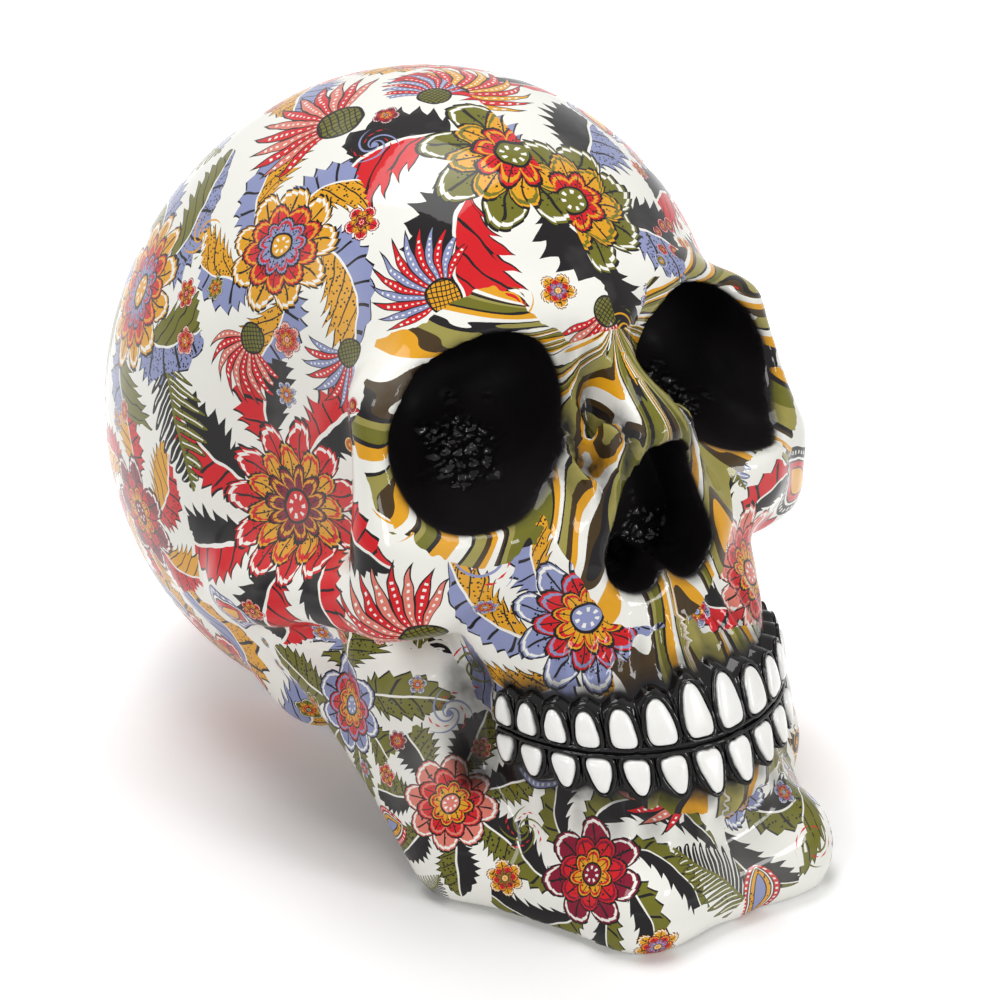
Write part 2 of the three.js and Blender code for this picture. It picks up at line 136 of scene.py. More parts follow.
sweep = plain_material("white_sweep")
tree = sweep.node_tree
paper = add_node(tree, "ShaderNodeBsdfDiffuse", Color=PAPER_WHITE)
glow = add_node(tree, "ShaderNodeEmission", Color=(1, 1, 1, 1))
# Painted light: the paper glows for the camera and in reflections. The glow is nil round the shadow's middle
# and grows with distance from it.
spot = add_node(tree, "ShaderNodeTexCoord")
reach = add_node(tree, "ShaderNodeVectorMath", "DISTANCE")
reach.inputs[1].default_value = SHADOW_MIDDLE
painted_glow = add_node(tree, "ShaderNodeMapRange", **FLOOR_GLOW_RAMP)
painted_glow.interpolation_type = "SMOOTHSTEP"
seen = add_node(tree, "ShaderNodeMath", "MULTIPLY")
both = add_node(tree, "ShaderNodeAddShader")
output = add_node(tree, "ShaderNodeOutputMaterial")
connect(tree, (spot.outputs["Object"], reach.inputs[0]), (reach.outputs["Value"], painted_glow.inputs["Value"]),
        (painted_glow.outputs["Result"], seen.inputs[0]), (background_share(tree), seen.inputs[1]),
        (seen.outputs[0], glow.inputs["Strength"]), (paper.outputs["BSDF"], both.inputs[0]),
        (glow.outputs["Emission"], both.inputs[1]), (both.outputs["Shader"], output.inputs["Surface"]))
floor_mesh.materials.append(sweep)

world = bpy.data.worlds.new("studio_air")
world.use_nodes = True
tree = world.node_tree
air = tree.nodes["Background"]
air.inputs["Color"].default_value = (1, 1, 1, 1)
level = add_node(tree, "ShaderNodeMapRange", To_Min=AIR_LIGHT, To_Max=1)
connect(tree, (background_share(tree), level.inputs["Value"]),
        (level.outputs["Result"], air.inputs["Strength"]))
scene.world = world

# Cranium
# A hollow casting of white resin: braincase, face and cheekbones in one piece, with the eye sockets and the
# nose opening sunk into it. Its outer form is built up from rounded masses in millimetres, as the solid is.
VOXEL = 1.2
BRAINCASE = dict(at=(0, 22, 71), half=(63, 83, 69), pitch=-41)
FACE_CORE = dict(at=(0, -24, 80), half=(40, 22, 34), pitch=14)
GLABELLA = dict(at=(0, -43, 113.5), half=(9, 6.5, 5.5), pitch=20)
MAXILLA = dict(at=(0, -52, 59), half=(32, 21, 19), pitch=12)
CHEEKBONE = dict(at=(41, -44, 65), half=(9.5, 11, 10), pitch=10)
MASTOID = dict(at=(37, 4, 26), half=(10, 13, 15), pitch=-10)
FOOT = dict(at=(0, 31, 9), half=(25, 29, 13), pitch=0)
NOSE_BRIDGE = dict(start=(0, -44, 109.5), end=(0, -64.5, 95), radii=(4.6, 5.8))
NOSE_FLANK = dict(start=(6, -40, 102), end=(16, -58, 69), radii=(4, 6.5))
NOSE_RIM = dict(start=(4.5, -62.5, 93), end=(13.5, -61.5, 72), radii=(5, 6))
INNER_RIM = dict(start=(14, -48, 86), end=(30, -52, 75), radii=(6.5, 9.5))
LOWER_RIM = dict(start=(30, -52, 75), end=(42, -46, 73), radii=(9.5, 8.2))
BROW = dict(start=(16, -40, 114), end=(38, -35, 104), radii=(4.6, 5))
CHEEK_PILLAR = dict(start=(43.9, -35.8, 101), end=(46.5, -43.5, 77), radii=(5.2, 6.8))
CHEEK_ARCH = dict(start=(48, -42, 63), end=(56, -4, 54), radii=(7, 6))
ARCH_ROOT = dict(start=(54, -10, 55), end=(52, 16, 46), radii=(6, 5))
EYE_RECESS = dict(at=(28, -66, 92), half=(28, 18, 25), pitch=-8)
NASION_HOLLOW = dict(at=(11, -54, 105), half=(6, 6.5, 8), pitch=0)
TEMPLE = dict(at=(66, -22, 88), half=(15, 24, 27), pitch=-12)
CANINE_HOLLOW = dict(at=(26, -78, 65), half=(9, 10, 9), pitch=10)
CHEEK_HOLLOW = dict(at=(48, -62, 50), half=(13, 16, 9), pitch=0)
MOUTH_HOLLOW = dict(at=(39, -57, 42), half=(6, 8, 9), pitch=0)
ORBIT = dict(at=(27.7, -45.35, 96.7), half=(12.3, 21.5, 17.7), pitch=26, yaw=19.5, roll=67.5, squareness=2.65)
NOSE_LOBE = dict(start=(6.3, 71.6), end=(1.2, 89.8), radii=(6.4, 4.6))
NOSE_BACK = -54
BITE_HEIGHT = 39
ARCH = dict(centre=-57, across=32, forward=30.7, lean=26)
RIDGE = dict(inset=1.5, half=19)
FOLDS = dict(at=(10.5, 97), half=(7.5, 14), width=3.4, slant=0.16, top=108, front=-44)
FOLD_HEIGHT = 0.85
ROOT_HEIGHT = 0.6
FOOT_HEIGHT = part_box("cranium")[0].z / MM
GRID_MARGIN = 4


def ellipsoid(p, at, half, pitch):
    """Signed distance, negative inside, to an ellipsoid turned about X."""
    x, y, z = (p[i] - at[i] for i in range(3))
    c = math.cos(math.radians(pitch))
    s = math.sin(math.radians(pitch))
    q = (x / half[0], (c * y + s * z) / half[1], (c * z - s * y) / half[2])
    reach = np.sqrt(q[0] ** 2 + q[1] ** 2 + q[2] ** 2)
    slope = np.sqrt((q[0] / half[0]) ** 2 + (q[1] / half[1]) ** 2 + (q[2] / half[2]) ** 2)
    return reach * (reach - 1) / np.maximum(slope, 1e-6)


def bar(p, start, end, radii):
    """Signed distance to a round bar that tapers from one end to the other, in two or three dimensions."""
    run = np.subtract(end, start)
    offset = [p[i] - start[i] for i in range(len(start))]
    t = np.clip(sum(o * r for o, r in zip(offset, run)) / np.dot(run, run), 0, 1)
    reach = np.sqrt(sum((o - t * r) ** 2 for o, r in zip(offset, run)))
    return reach - (radii[0] + t * (radii[1] - radii[0]))


def join(a, b, fillet):
    h = np.maximum(fillet - np.abs(a - b), 0) / fillet
    return np.minimum(a, b) - h * h * fillet / 4


def press(a, hollow, fillet):
    return -join(-a, hollow, fillet)


def orbit_distance(p):
    """Signed distance to the left eye socket, a rounded-square bowl."""
    x, y, z = (p[i] - ORBIT["at"][i] for i in range(3))
    for angle, plane in ((-ORBIT["yaw"], "xy"), (-ORBIT["pitch"], "yz"), (ORBIT["roll"], "zx")):
        c = math.cos(math.radians(angle))
        s = math.sin(math.radians(angle))
        if plane == "xy":
            x, y = c * x - s * y, s * x + c * y
        elif plane == "yz":
            y, z = c * y - s * z, s * y + c * z
        else:
            z, x = c * z - s * x, s * z + c * x
    n = ORBIT["squareness"]
    q = [np.abs(v) / half for v, half in zip((x, y, z), ORBIT["half"])]
    reach = np.maximum(q[0] ** n + q[1] ** n + q[2] ** n, 1e-9) ** (1 / n)
    slope = np.sqrt(sum((v ** (n - 1) / half) ** 2 for v, half in zip(q, ORBIT["half"]))) / reach ** (n - 1)
    return (reach - 1) / np.maximum(slope, 1e-3)


def nose_outline(p):
    """Signed distance, seen from the front, to the pear-shaped nose opening."""
    return join(bar((p[0], p[2]), **NOSE_LOBE), bar((-p[0], p[2]), **NOSE_LOBE), 2)


def row_lean(z):
    """Forward reach of the tooth rows at a height, as a share of their reach at the bite."""
    return 1 - math.tan(math.radians(ARCH["lean"])) * (z - BITE_HEIGHT) / ARCH["forward"]


def row_reach(p, level):
    """1 on the ellipse of the bone behind the tooth rows at that level, and less inside it."""
    forward = (ARCH["forward"] - RIDGE["inset"]) * row_lean(level)
    return np.hypot(p[0] / (ARCH["across"] - RIDGE["inset"]), (p[1] - ARCH["centre"]) / forward), forward


def ridge_distance(p):
    """Signed distance to the bone behind both tooth rows."""
    level = np.clip(p[2], BITE_HEIGHT - RIDGE["half"], BITE_HEIGHT + RIDGE["half"])
    q, forward = row_reach(p, level)
    reach = (q ** 4 + ((p[2] - BITE_HEIGHT) / RIDGE["half"]) ** 4) ** 0.25
    return (reach - 1) * np.minimum(forward, RIDGE["half"])


UPPER_ROW = dict(name="upper", way=1, widths=(6.2, 6.4, 5.8, 5.2, 4.8, 4.7, 4.4),
                 heights=(10, 8.6, 7.5, 7, 6.8, 6.7, 6.4), taper=0.16)
LOWER_ROW = dict(name="lower", way=-1, widths=(5.8, 5.8, 5.6, 5.4, 5.2, 5, 4.6),
                 heights=(7.9, 6.9, 6.8, 6.6, 6.6, 6.4, 6), taper=0.26)
TOOTH_GAP = 1.4
BITE_MARGIN = 1.0
ROW_ANGLES = np.linspace(0, 2.2, 2000)
row_x = ARCH["across"] * np.sin(ROW_ANGLES)
row_y = ARCH["centre"] - ARCH["forward"] * np.cos(ROW_ANGLES)
ROW_RUN = np.append(0, np.cumsum(np.hypot(np.diff(row_x), np.diff(row_y))))


def row_run(p):
    """Distance along the tooth rows from the middle, of points in front of their centre."""
    angle = np.arctan2(np.abs(p[0]) / ARCH["across"], (ARCH["centre"] - p[1]) / ARCH["forward"])
    return np.interp(angle, ROW_ANGLES, ROW_RUN)


def root_wave(p, row):
    """1 over the middle of each tooth's root and -1 between roots."""
    edges = np.cumsum([0, *(width + TOOTH_GAP for width in row["widths"])])
    return np.cos(2 * np.pi * (np.interp(row_run(p), edges, np.arange(len(edges))) - 0.5))


def step_up(low_edge, high_edge, values):
    """0 below the low edge, 1 above the high edge and a smooth slope between."""
    t = np.clip((values - low_edge) / (high_edge - low_edge), 0, 1)
    return t * t * (3 - 2 * t)


def root_zone(p, row, reach):
    """1 over the roots of a row, fading out at that height from the bite."""
    height = row["way"] * (p[2] - BITE_HEIGHT)
    ahead = step_up(6, 16, ARCH["centre"] - p[1])
    return step_up(10.5, 14.5, height) * (1 - step_up(reach - 9, reach, height)) * ahead


def fold_wave(p):
    """Creases of the skin of paint and bone between the eye's inner corner and the nose."""
    across = p[0] - FOLDS["slant"] * (FOLDS["top"] - p[2])
    wave = np.cos(2 * np.pi * across / FOLDS["width"])
    (x, z), (half_x, half_z) = FOLDS["at"], FOLDS["half"]
    near = ((p[0] - x) / half_x) ** 2 + ((p[2] - z) / half_z) ** 2
    return wave, np.exp(-near ** 2) * step_up(0, 8, FOLDS["front"] - p[1])


def cranium_distance(p):
    d = join(ellipsoid(p, **BRAINCASE), ellipsoid(p, **FACE_CORE), 10)
    d = press(d, ellipsoid(p, **EYE_RECESS), 6)
    d = press(d, ellipsoid(p, **TEMPLE), 16)
    for mass, fillet in ((MAXILLA, 10), (CHEEKBONE, 10), (MASTOID, 8), (FOOT, 10), (GLABELLA, 8)):
        d = join(d, ellipsoid(p, **mass), fillet)
    for limb, fillet in ((NOSE_BRIDGE, 6), (NOSE_FLANK, 8), (NOSE_RIM, 6), (INNER_RIM, 8), (LOWER_RIM, 8),
                         (BROW, 8), (CHEEK_PILLAR, 8), (CHEEK_ARCH, 7), (ARCH_ROOT, 10)):
        d = join(d, bar(p, **limb), fillet)
    for hollow, fillet in ((NASION_HOLLOW, 5), (CANINE_HOLLOW, 8), (CHEEK_HOLLOW, 4)):
        d = press(d, ellipsoid(p, **hollow), fillet)
    d = join(d, np.maximum(ridge_distance(p), BITE_HEIGHT - p[2]), 8)
    wave, near = fold_wave(p)
    d = d - FOLD_HEIGHT * wave * near
    return d - ROOT_HEIGHT * root_wave(p, UPPER_ROW) * root_zone(p, UPPER_ROW, 26)


def half_grid(lowest, highest):
    """Points of the skull's left half, up to its middle plane, in millimetres."""
    axes = [np.arange(0, highest[0], VOXEL)]
    axes += [np.arange(lowest[i], highest[i], VOXEL) for i in (1, 2)]
    return [a.astype(np.float32) for a in np.meshgrid(*axes, indexing="ij", sparse=True)]


def skin(name, half_field, lowest):
    """A closed mesh where the field of the left half, and its mirror image, crosses zero."""
    band = 3 * VOXEL
    field = np.clip(np.concatenate([half_field[:0:-1], half_field]), -band, band)
    grid = openvdb.FloatGrid(band)
    grid.copyFromArray(field)
    points, quads = grid.convertToQuads(0)
    points = points * VOXEL + (-VOXEL * (len(half_field) - 1), lowest[1], lowest[2])
    mesh = bpy.data.meshes.new(name)
    mesh.from_pydata((points * MM).tolist(), [], quads.tolist())
    mesh.shade_smooth()
    return mesh


def node_box(node):
    """Lowest and highest corner of a node's solid, in millimetres."""
    return [np.array(corner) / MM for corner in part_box(node)]


def round_recess(p, node, wider):
    """Signed distance to the recess for a round node, with room around it."""
    low, high = node_box(node)
    middle = (low + high) / 2
    reach = np.hypot(p[0] - middle[0], p[1] - middle[1])
    return np.maximum(reach - (high[0] - low[0]) / 2 - wider, p[2] - high[2] - wider)


low, high = node_box("cranium")
low[1] = node_box("lower_jaw")[0][1]
low -= GRID_MARGIN
high += GRID_MARGIN
p = half_grid(low, high)
orbit = orbit_distance(p)
nose = np.maximum(nose_outline(p), p[1] - NOSE_BACK)
bone = cranium_distance(p)
bone = press(bone, orbit, 3)
bone = press(bone, nose, 2)

# Lower jaw
# A solid casting of the same resin, bonded under the cranium. Its two branches rise behind the cheekbones,
# and its square chin and its rear corners carry the weight of the face.
JAW_FILL = dict(at=(0, -56, 16), half=(32, 32, 23), pitch=0)
CHIN_BAR = dict(start=(0, -88, 6), end=(17, -86.5, 9), radii=(9.5, 10.5))
JAW_BODY = dict(start=(17, -86, 5), end=(34, -54, 6), radii=(10, 10))
RAMUS_BACK = dict(start=(34.5, -50, 8.5), end=(43, -7, 36), radii=(8.8, 7.5))
RAMUS_FRONT = dict(start=(35, -55, 12), end=(43, -30, 50), radii=(8, 6))
CHEEK_FILL = dict(at=(34, -38, 30), half=(8, 13, 19), pitch=0)
LIP_FOLD = dict(at=(0, -102, 24), half=(18, 8.5, 7), pitch=0)
MOUTH_CORNER = dict(start=(33.5, -51, 45), end=(35.5, -56.5, 28), radii=(3, 2.2))
BOND_LAP = 0.8
JAW_INSET = 0.12
RECESS_ROOM = 0.5
LOWER_ROOT_HEIGHT = 0.5


def jaw_distance(p):
    d = join(ellipsoid(p, **JAW_FILL), bar(p, **CHIN_BAR), 8)
    d = join(d, bar(p, **JAW_BODY), 8)
    d = join(d, ellipsoid(p, **CHEEK_FILL), 8)
    d = press(d, ellipsoid(p, **LIP_FOLD), 8)
    d = join(d, np.maximum(ridge_distance(p), p[2] - BITE_HEIGHT), 8)
    branch = join(bar(p, **RAMUS_BACK), bar(p, **RAMUS_FRONT), 20)
    d = join(d, branch, 4)
    return d - LOWER_ROOT_HEIGHT * root_wave(p, LOWER_ROW) * root_zone(p, LOWER_ROW, 20)


def add_piece(name, mesh, node):
    """Shows a mesh in place of a node's solid, on the skull's one body."""
    piece = bpy.data.objects.new(name, mesh)
    scene.collection.objects.link(piece)
    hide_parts(node)
    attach(piece, "root")
    return piece


jaw = jaw_distance(p)
whole = press(join(bone, jaw, 5), ellipsoid(p, **MOUTH_HOLLOW), 5)
whole = press(whole, bar(p, **MOUTH_CORNER), 3)
castings = []
for name, node, field, bond, inlay in (
        ("cranium_shell", "cranium", whole, bone - jaw, "base_plate"),
        ("jaw_casting", "lower_jaw", whole + JAW_INSET, jaw - bone, "front_felt_pad_left")):
    field = np.maximum(field, bond / 2 - BOND_LAP)
    field = np.maximum(field, FOOT_HEIGHT - p[2])
    field = np.maximum(field, -round_recess(p, inlay, RECESS_ROOM))
    castings.append(add_piece(name, skin(name, field, low), node))
cranium, jaw_piece = castings

# Printed film
# A film with a folk floral is floated onto both castings and sealed under a clear coat: ringed blooms with
# leaves around them, thistles, ferns, paisleys, scrolls and berries on white. Each side of the skull has a
# sheet of its own, so the drawing breaks at a seam down the middle.
IVORY = (0.86, 0.85, 0.79)
OCHRE = (0.74, 0.35, 0.016)
OLIVE = (0.16, 0.155, 0.016)
RED = (0.64, 0.012, 0.018)
LAVENDER = (0.26, 0.29, 0.50)
CHARCOAL = (0.012, 0.010, 0.011)
PINK = (0.72, 0.20, 0.15)
WINE = (0.24, 0.006, 0.03)
SEAM_X = 0.6
FERN_FLOOR = 25
LEAF_REACH = 2.7
BLOOM_REACH = 1.3
FLAT_ENOUGH = 0.76
MOTIF_SPACING = 1.03
BERRY = dict(radii=(1.3, 1.9), step=3.6, lane=2.2, jitter=0.4, spacing=1.02)
NO_MOTIF = 9.0
rng = np.random.default_rng(5)

BLOOM, THISTLE, PAISLEY, FERN, SCROLL = range(5)
BLOOM_INKS = ((LAVENDER, OCHRE, RED), (RED, OCHRE, WINE), (OCHRE, RED, OLIVE), (LAVENDER, RED, OCHRE),
              (PINK, RED, OCHRE), (OCHRE, RED, LAVENDER), (WINE, RED, OCHRE), (OLIVE, OCHRE, RED))
BERRY_INKS = ((RED, WINE, OCHRE), (OCHRE, RED, OCHRE), (LAVENDER, OLIVE, OCHRE))
THISTLE_INKS = ((RED, PINK, OLIVE), (LAVENDER, RED, OLIVE), (OCHRE, RED, OLIVE), (RED, LAVENDER, OCHRE))
PAISLEY_INKS = ((LAVENDER, RED, OCHRE), (OLIVE, OCHRE, RED), (RED, OCHRE, LAVENDER), (CHARCOAL, RED, OCHRE))
FERN_INKS = ((OLIVE, OCHRE, OLIVE), (LAVENDER, OLIVE, OLIVE), (OLIVE, CHARCOAL, OLIVE))
SCROLL_INKS = ((OLIVE, RED, OLIVE), (OCHRE, OLIVE, OLIVE), (LAVENDER, RED, OLIVE))
LEAF_INKS = ((OLIVE, OCHRE), (LAVENDER, CHARCOAL), (OCHRE, LAVENDER), (RED, OCHRE), (LAVENDER, OLIVE),
             (CHARCOAL, RED))
DARK_LEAF_INKS = ((OLIVE, CHARCOAL), (CHARCOAL, OLIVE), (OLIVE, OLIVE), (CHARCOAL, OCHRE))


def face_frames(piece):
    """Centres in millimetres, normals and areas of a piece's faces."""
    count = len(piece.data.polygons)
    values = []
    for field, width in (("center", 3), ("normal", 3), ("area", 1)):
        block = np.empty(count * width)
        piece.data.polygons.foreach_get(field, block)
        values.append(block.reshape(count, width))
    return values[0] / MM, values[1], values[2].ravel()


def motif(at, normal, radius, kind, inks, shape):
    near, far, heart = inks[rng.integers(len(inks))]
    return dict(at=at, normal=normal, radius=radius, kind=kind, near=near, far=far, heart=heart, shape=shape,
                turn=rng.uniform(0, 2 * math.pi))


def make_bloom(at, normal, radius):
    if radius > 10:
        shape = (rng.integers(7, 12), rng.uniform(0.22, 0.36), rng.uniform(0.2, 0.6))
    else:
        shape = (rng.integers(5, 8), rng.uniform(0.3, 0.42), rng.uniform(0.4, 1))
    return motif(at, normal, radius, BLOOM, BLOOM_INKS, shape)


def make_thistle(at, normal, radius):
    shape = (rng.integers(9, 15), rng.uniform(0.36, 0.48), rng.uniform(-0.25, 0.25))
    return motif(at, normal, radius, THISTLE, THISTLE_INKS, shape)


def make_paisley(at, normal, radius):
    shape = (rng.uniform(0.95, 1.2), rng.uniform(-0.45, 0.45), 0)
    return motif(at, normal, radius, PAISLEY, PAISLEY_INKS, shape)


def make_fern(at, normal, radius):
    shape = (rng.integers(6, 10), rng.uniform(-0.4, 0.4), 0)
    return motif(at, normal, radius, FERN, FERN_INKS, shape)


def make_scroll(at, normal, radius):
    shape = (rng.integers(2, 5), rng.choice((-1.1, 1.1)), 0)
    return motif(at, normal, radius, SCROLL, SCROLL_INKS, shape)


def make_berry(at, normal, radius):
    return motif(at, normal, radius, BLOOM, BERRY_INKS, (1, 0, 0))


def make_leaves(bloom, inks):
    near, far = inks[rng.integers(len(inks))]
    shape = (rng.integers(5, 8), rng.uniform(0.6, 1.15), rng.uniform(-0.14, 0.14))
    return dict(bloom, near=near, far=far, shape=shape)


def is_clear(at, radius, others, spacing):
    return all(np.linalg.norm(at - m["at"]) > (radius + m["radius"]) * spacing for m in others)


def lies_flat(faces, index, radius):
    """Whether the surface within that radius of a face bends little enough for a motif."""
    centres, normals, _ = faces
    near = np.linalg.norm(centres - centres[index], axis=1) < radius
    return (normals[near] @ normals[index]).mean() > FLAT_ENOUGH


def scatter(faces, weights, plan, others, spacing):
    """Motifs at random places on the faces, clear of each other and of the others."""
    centres, normals, _ = faces
    placed = []
    for make, smallest, largest, tries in plan:
        for index in rng.choice(len(centres), tries, p=weights / weights.sum()):
            radius = rng.uniform(smallest, largest)
            if is_clear(centres[index], radius, others + placed, spacing) and lies_flat(faces, index, radius):
                placed.append(make(centres[index], normals[index], radius))
    return placed


def berry_sprays(faces, weights, others, tries):
    """Twin rows of berries, each laid out along a line of its own direction."""
    centres, normals, _ = faces
    placed = []
    for index in rng.choice(len(centres), tries, p=weights / weights.sum()):
        if not is_clear(centres[index], 4, others, 1):
            continue
        along = np.cross(normals[index], rng.normal(size=3))
        along /= np.linalg.norm(along)
        across = np.cross(normals[index], along)
        for step in range(-4, 5):
            for lane in (-1, 1):
                aside = lane * (BERRY["lane"] + BERRY["jitter"] * rng.normal())
                spot = centres[index] + along * step * BERRY["step"] + across * aside
                near = np.argmin(np.sum((centres - spot) ** 2, axis=1))
                radius = rng.uniform(*BERRY["radii"])
                clear = is_clear(centres[near], radius, others + placed, BERRY["spacing"])
                if weights[near] > 0 and clear:
                    placed.append(make_berry(centres[near], normals[near], radius))
    return placed


def flat_places(points, m):
    """Flat coordinates of points on the surface around a motif, in radii of the motif."""
    across = np.cross(m["normal"], (0.3, 0.2, 1))
    across /= np.linalg.norm(across)
    along = np.cross(m["normal"], across)
    offset = points - m["at"]
    flat = np.stack([offset @ across, offset @ along], axis=-1)
    length = np.maximum(np.linalg.norm(flat, axis=-1, keepdims=True), 1e-6)
    flat *= np.linalg.norm(offset, axis=-1, keepdims=True) / length / m["radius"]
    c = math.cos(m["turn"])
    s = math.sin(m["turn"])
    return flat @ np.array(((c, -s), (s, c)))


def vertex_places(piece):
    """A piece's points in millimetres."""
    points = np.empty(len(piece.data.vertices) * 3)
    piece.data.vertices.foreach_get("co", points)
    return points.reshape(-1, 3) / MM


def lay_out(piece, layer, motifs, reach):
    """Gives every face the place of its nearest motif as a UV map, and that motif's facts as attributes."""
    mesh = piece.data
    centres, normals, _ = face_frames(piece)
    nearest = np.full(len(centres), -1)
    best = np.full(len(centres), float(reach))
    for k, m in enumerate(motifs):
        distance = np.linalg.norm(centres - m["at"], axis=1) / m["radius"]
        distance[normals @ m["normal"] < 0.1] = np.inf
        distance[(centres[:, 0] > SEAM_X) != (m["at"][0] > SEAM_X)] = np.inf
        closer = distance < best
        best[closer] = distance[closer]
        nearest[closer] = k
    corner_vertex = np.empty(len(mesh.loops), int)
    mesh.loops.foreach_get("vertex_index", corner_vertex)
    corners_per_face = np.empty(len(mesh.polygons), int)
    mesh.polygons.foreach_get("loop_total", corners_per_face)
    corners = vertex_places(piece)[corner_vertex]
    corner_motif = np.repeat(nearest, corners_per_face)
    uv = np.full((len(corners), 2), NO_MOTIF)
    for k, m in enumerate(motifs):
        uv[corner_motif == k] = flat_places(corners[corner_motif == k], m)
    mesh.uv_layers.new(name=layer).data.foreach_set("uv", uv.ravel())
    facts = [(name, "FLOAT_COLOR", "color", [(*m[name], 1) for m in motifs] + [(0, 0, 0, 1)])
             for name in ("near", "far", "heart")]
    facts.append(("shape", "FLOAT_VECTOR", "vector", [m["shape"] for m in motifs] + [(1, 0, 0)]))
    facts.append(("kind", "FLOAT", "value", [m["kind"] for m in motifs] + [0]))
    for name, kind, field, values in facts:
        values = np.array(values, float)[nearest].ravel()
        mesh.attributes.new(f"{layer}_{name}", kind, "FACE").data.foreach_set(field, values)


def half_side(points):
    """Coordinates of points, with x counted from the middle."""
    x, y, z = points.T
    return np.abs(x), y, z


def sunk_distance(v):
    """Signed distance to the sockets and the nose opening."""
    return np.minimum(orbit_distance(v), np.maximum(nose_outline(v), v[1] - NOSE_BACK - 2))


def print_film(piece, leaf_inks, chief, spacing, second, small, berries):
    """Lays the film's two sheets on a piece."""
    faces = face_frames(piece)
    centres, _, areas = faces
    open_area = areas * (sunk_distance(half_side(centres)) > 1)
    open_area *= centres[:, 2] > 3
    motifs = []
    leaves = []
    for side in (1, -1):
        sheet = np.where((centres[:, 0] - SEAM_X) * side > 0, open_area, 0)
        laid = scatter(faces, sheet, chief, [], spacing)
        leaves += [make_leaves(bloom, leaf_inks) for bloom in laid]
        laid += scatter(faces, sheet, second, laid, MOTIF_SPACING)
        laid += berry_sprays(faces, sheet, laid, berries)
        motifs += laid + scatter(faces, sheet, small, laid, MOTIF_SPACING)
    # Low at the back a fern would be seen edge-on, so none stays there.
    motifs = [m for m in motifs if m["kind"] != FERN or m["at"][1] < 0 or m["at"][2] > FERN_FLOOR]
    lay_out(piece, "leaf", leaves, LEAF_REACH)
    lay_out(piece, "bloom", motifs, BLOOM_REACH)


print_film(cranium, LEAF_INKS, ((make_bloom, 17, 21, 40), (make_bloom, 13, 16, 400)), 1.28,
           ((make_thistle, 13, 16, 200), (make_fern, 12, 16, 200), (make_paisley, 10, 13, 200),
            (make_thistle, 8, 11, 300), (make_fern, 8, 11, 300)),
           ((make_scroll, 5, 8, 300), (make_bloom, 4.5, 7, 300), (make_bloom, 2.6, 4, 500)), 16)
print_film(jaw_piece, DARK_LEAF_INKS, ((make_bloom, 10, 13, 300),), 1.25,
           ((make_fern, 10, 13, 200), (make_thistle, 9, 12, 200), (make_paisley, 8, 10, 200),
            (make_fern, 6, 9, 200)),
           ((make_scroll, 4, 6, 200), (make_bloom, 3, 5, 300), (make_bloom, 2, 3, 300)), 6)


class Wire:
    """A socket of a node tree. Arithmetic on wires adds Math nodes to the tree."""

    def __init__(self, tree, socket):
        self.tree = tree
        self.socket = socket

    def feed(self, slot, value):
        if isinstance(value, Wire):
            self.tree.links.new(value.socket, slot)
        else:
            slot.default_value = value

    def math(self, operation, *others):
        node = add_node(self.tree, "ShaderNodeMath", operation)
        for slot, value in zip(node.inputs, (self, *others)):
            self.feed(slot, value)
        return Wire(self.tree, node.outputs[0])

    __add__ = __radd__ = partialmethod(math, "ADD")
    __sub__ = partialmethod(math, "SUBTRACT")
    __mul__ = __rmul__ = partialmethod(math, "MULTIPLY")
    __truediv__ = partialmethod(math, "DIVIDE")
    __pow__ = partialmethod(math, "POWER")
    __abs__ = partialmethod(math, "ABSOLUTE")
    __lt__ = partialmethod(math, "LESS_THAN")
    __gt__ = partialmethod(math, "GREATER_THAN")
    at_least = partialmethod(math, "MAXIMUM")
    at_most = partialmethod(math, "MINIMUM")
    fraction = partialmethod(math, "FRACT")

    def __rsub__(self, other):
        return (self * -1) + other

    def over(self, under, cover):
        """This colour laid over another, where cover is 1."""
        node = self.tree.nodes.new("ShaderNodeMix")
        node.data_type = "RGBA"
        for name, value in (("Factor_Float", cover), ("A_Color", under), ("B_Color", self)):
            self.feed(next(s for s in node.inputs if s.identifier == name), value)
        return Wire(self.tree, next(s for s in node.outputs if s.identifier == "Result_Color"))


def ink(tree, colour):
    node = tree.nodes.new("ShaderNodeRGB")
    node.outputs[0].default_value = (*colour, 1)
    return Wire(tree, node.outputs[0])


def parts_of(wire):
    node = wire.tree.nodes.new("ShaderNodeSeparateXYZ")
    wire.tree.links.new(wire.socket, node.inputs[0])
    return [Wire(wire.tree, s) for s in node.outputs]


def motif_group(name):
    """A node group that draws one kind of motif, with wires of its place, shape, dots and inks."""
    tree = bpy.data.node_groups.new(name, "ShaderNodeTree")
    sockets = (("Place", "Vector"), ("Shape", "Vector"), ("Stipple", "Float"), ("Near", "Color"),
               ("Far", "Color"), ("Heart", "Color"))
    for label, kind in sockets:
        tree.interface.new_socket(label, in_out="INPUT", socket_type=f"NodeSocket{kind}")
    tree.interface.new_socket("Color", in_out="OUTPUT", socket_type="NodeSocketColor")
    tree.interface.new_socket("Cover", in_out="OUTPUT", socket_type="NodeSocketFloat")
    entry = tree.nodes.new("NodeGroupInput")
    place, shape, stipple, *inks = (Wire(tree, s) for s in entry.outputs[:len(sockets)])
    inks += [ink(tree, CHARCOAL), ink(tree, IVORY)]
    return tree, parts_of(place)[:2], parts_of(shape), stipple, inks


def finish_group(tree, picture, cover):
    group_end = tree.nodes.new("NodeGroupOutput")
    connect(tree, (picture.socket, group_end.inputs["Color"]), (cover.socket, group_end.inputs["Cover"]))


def paint(picture, *layers):
    """Lays inks over a picture in turn, each where its cover is 1."""
    for colour, cover in layers:
        picture = colour.over(picture, cover)
    return picture


def length_and_turn(x, y):
    """Distance from a motif's middle, and turn around it from -0.5 to 0.5."""
    return (x * x + y * y) ** 0.5, y.math("ARCTAN2", x) / (2 * math.pi)


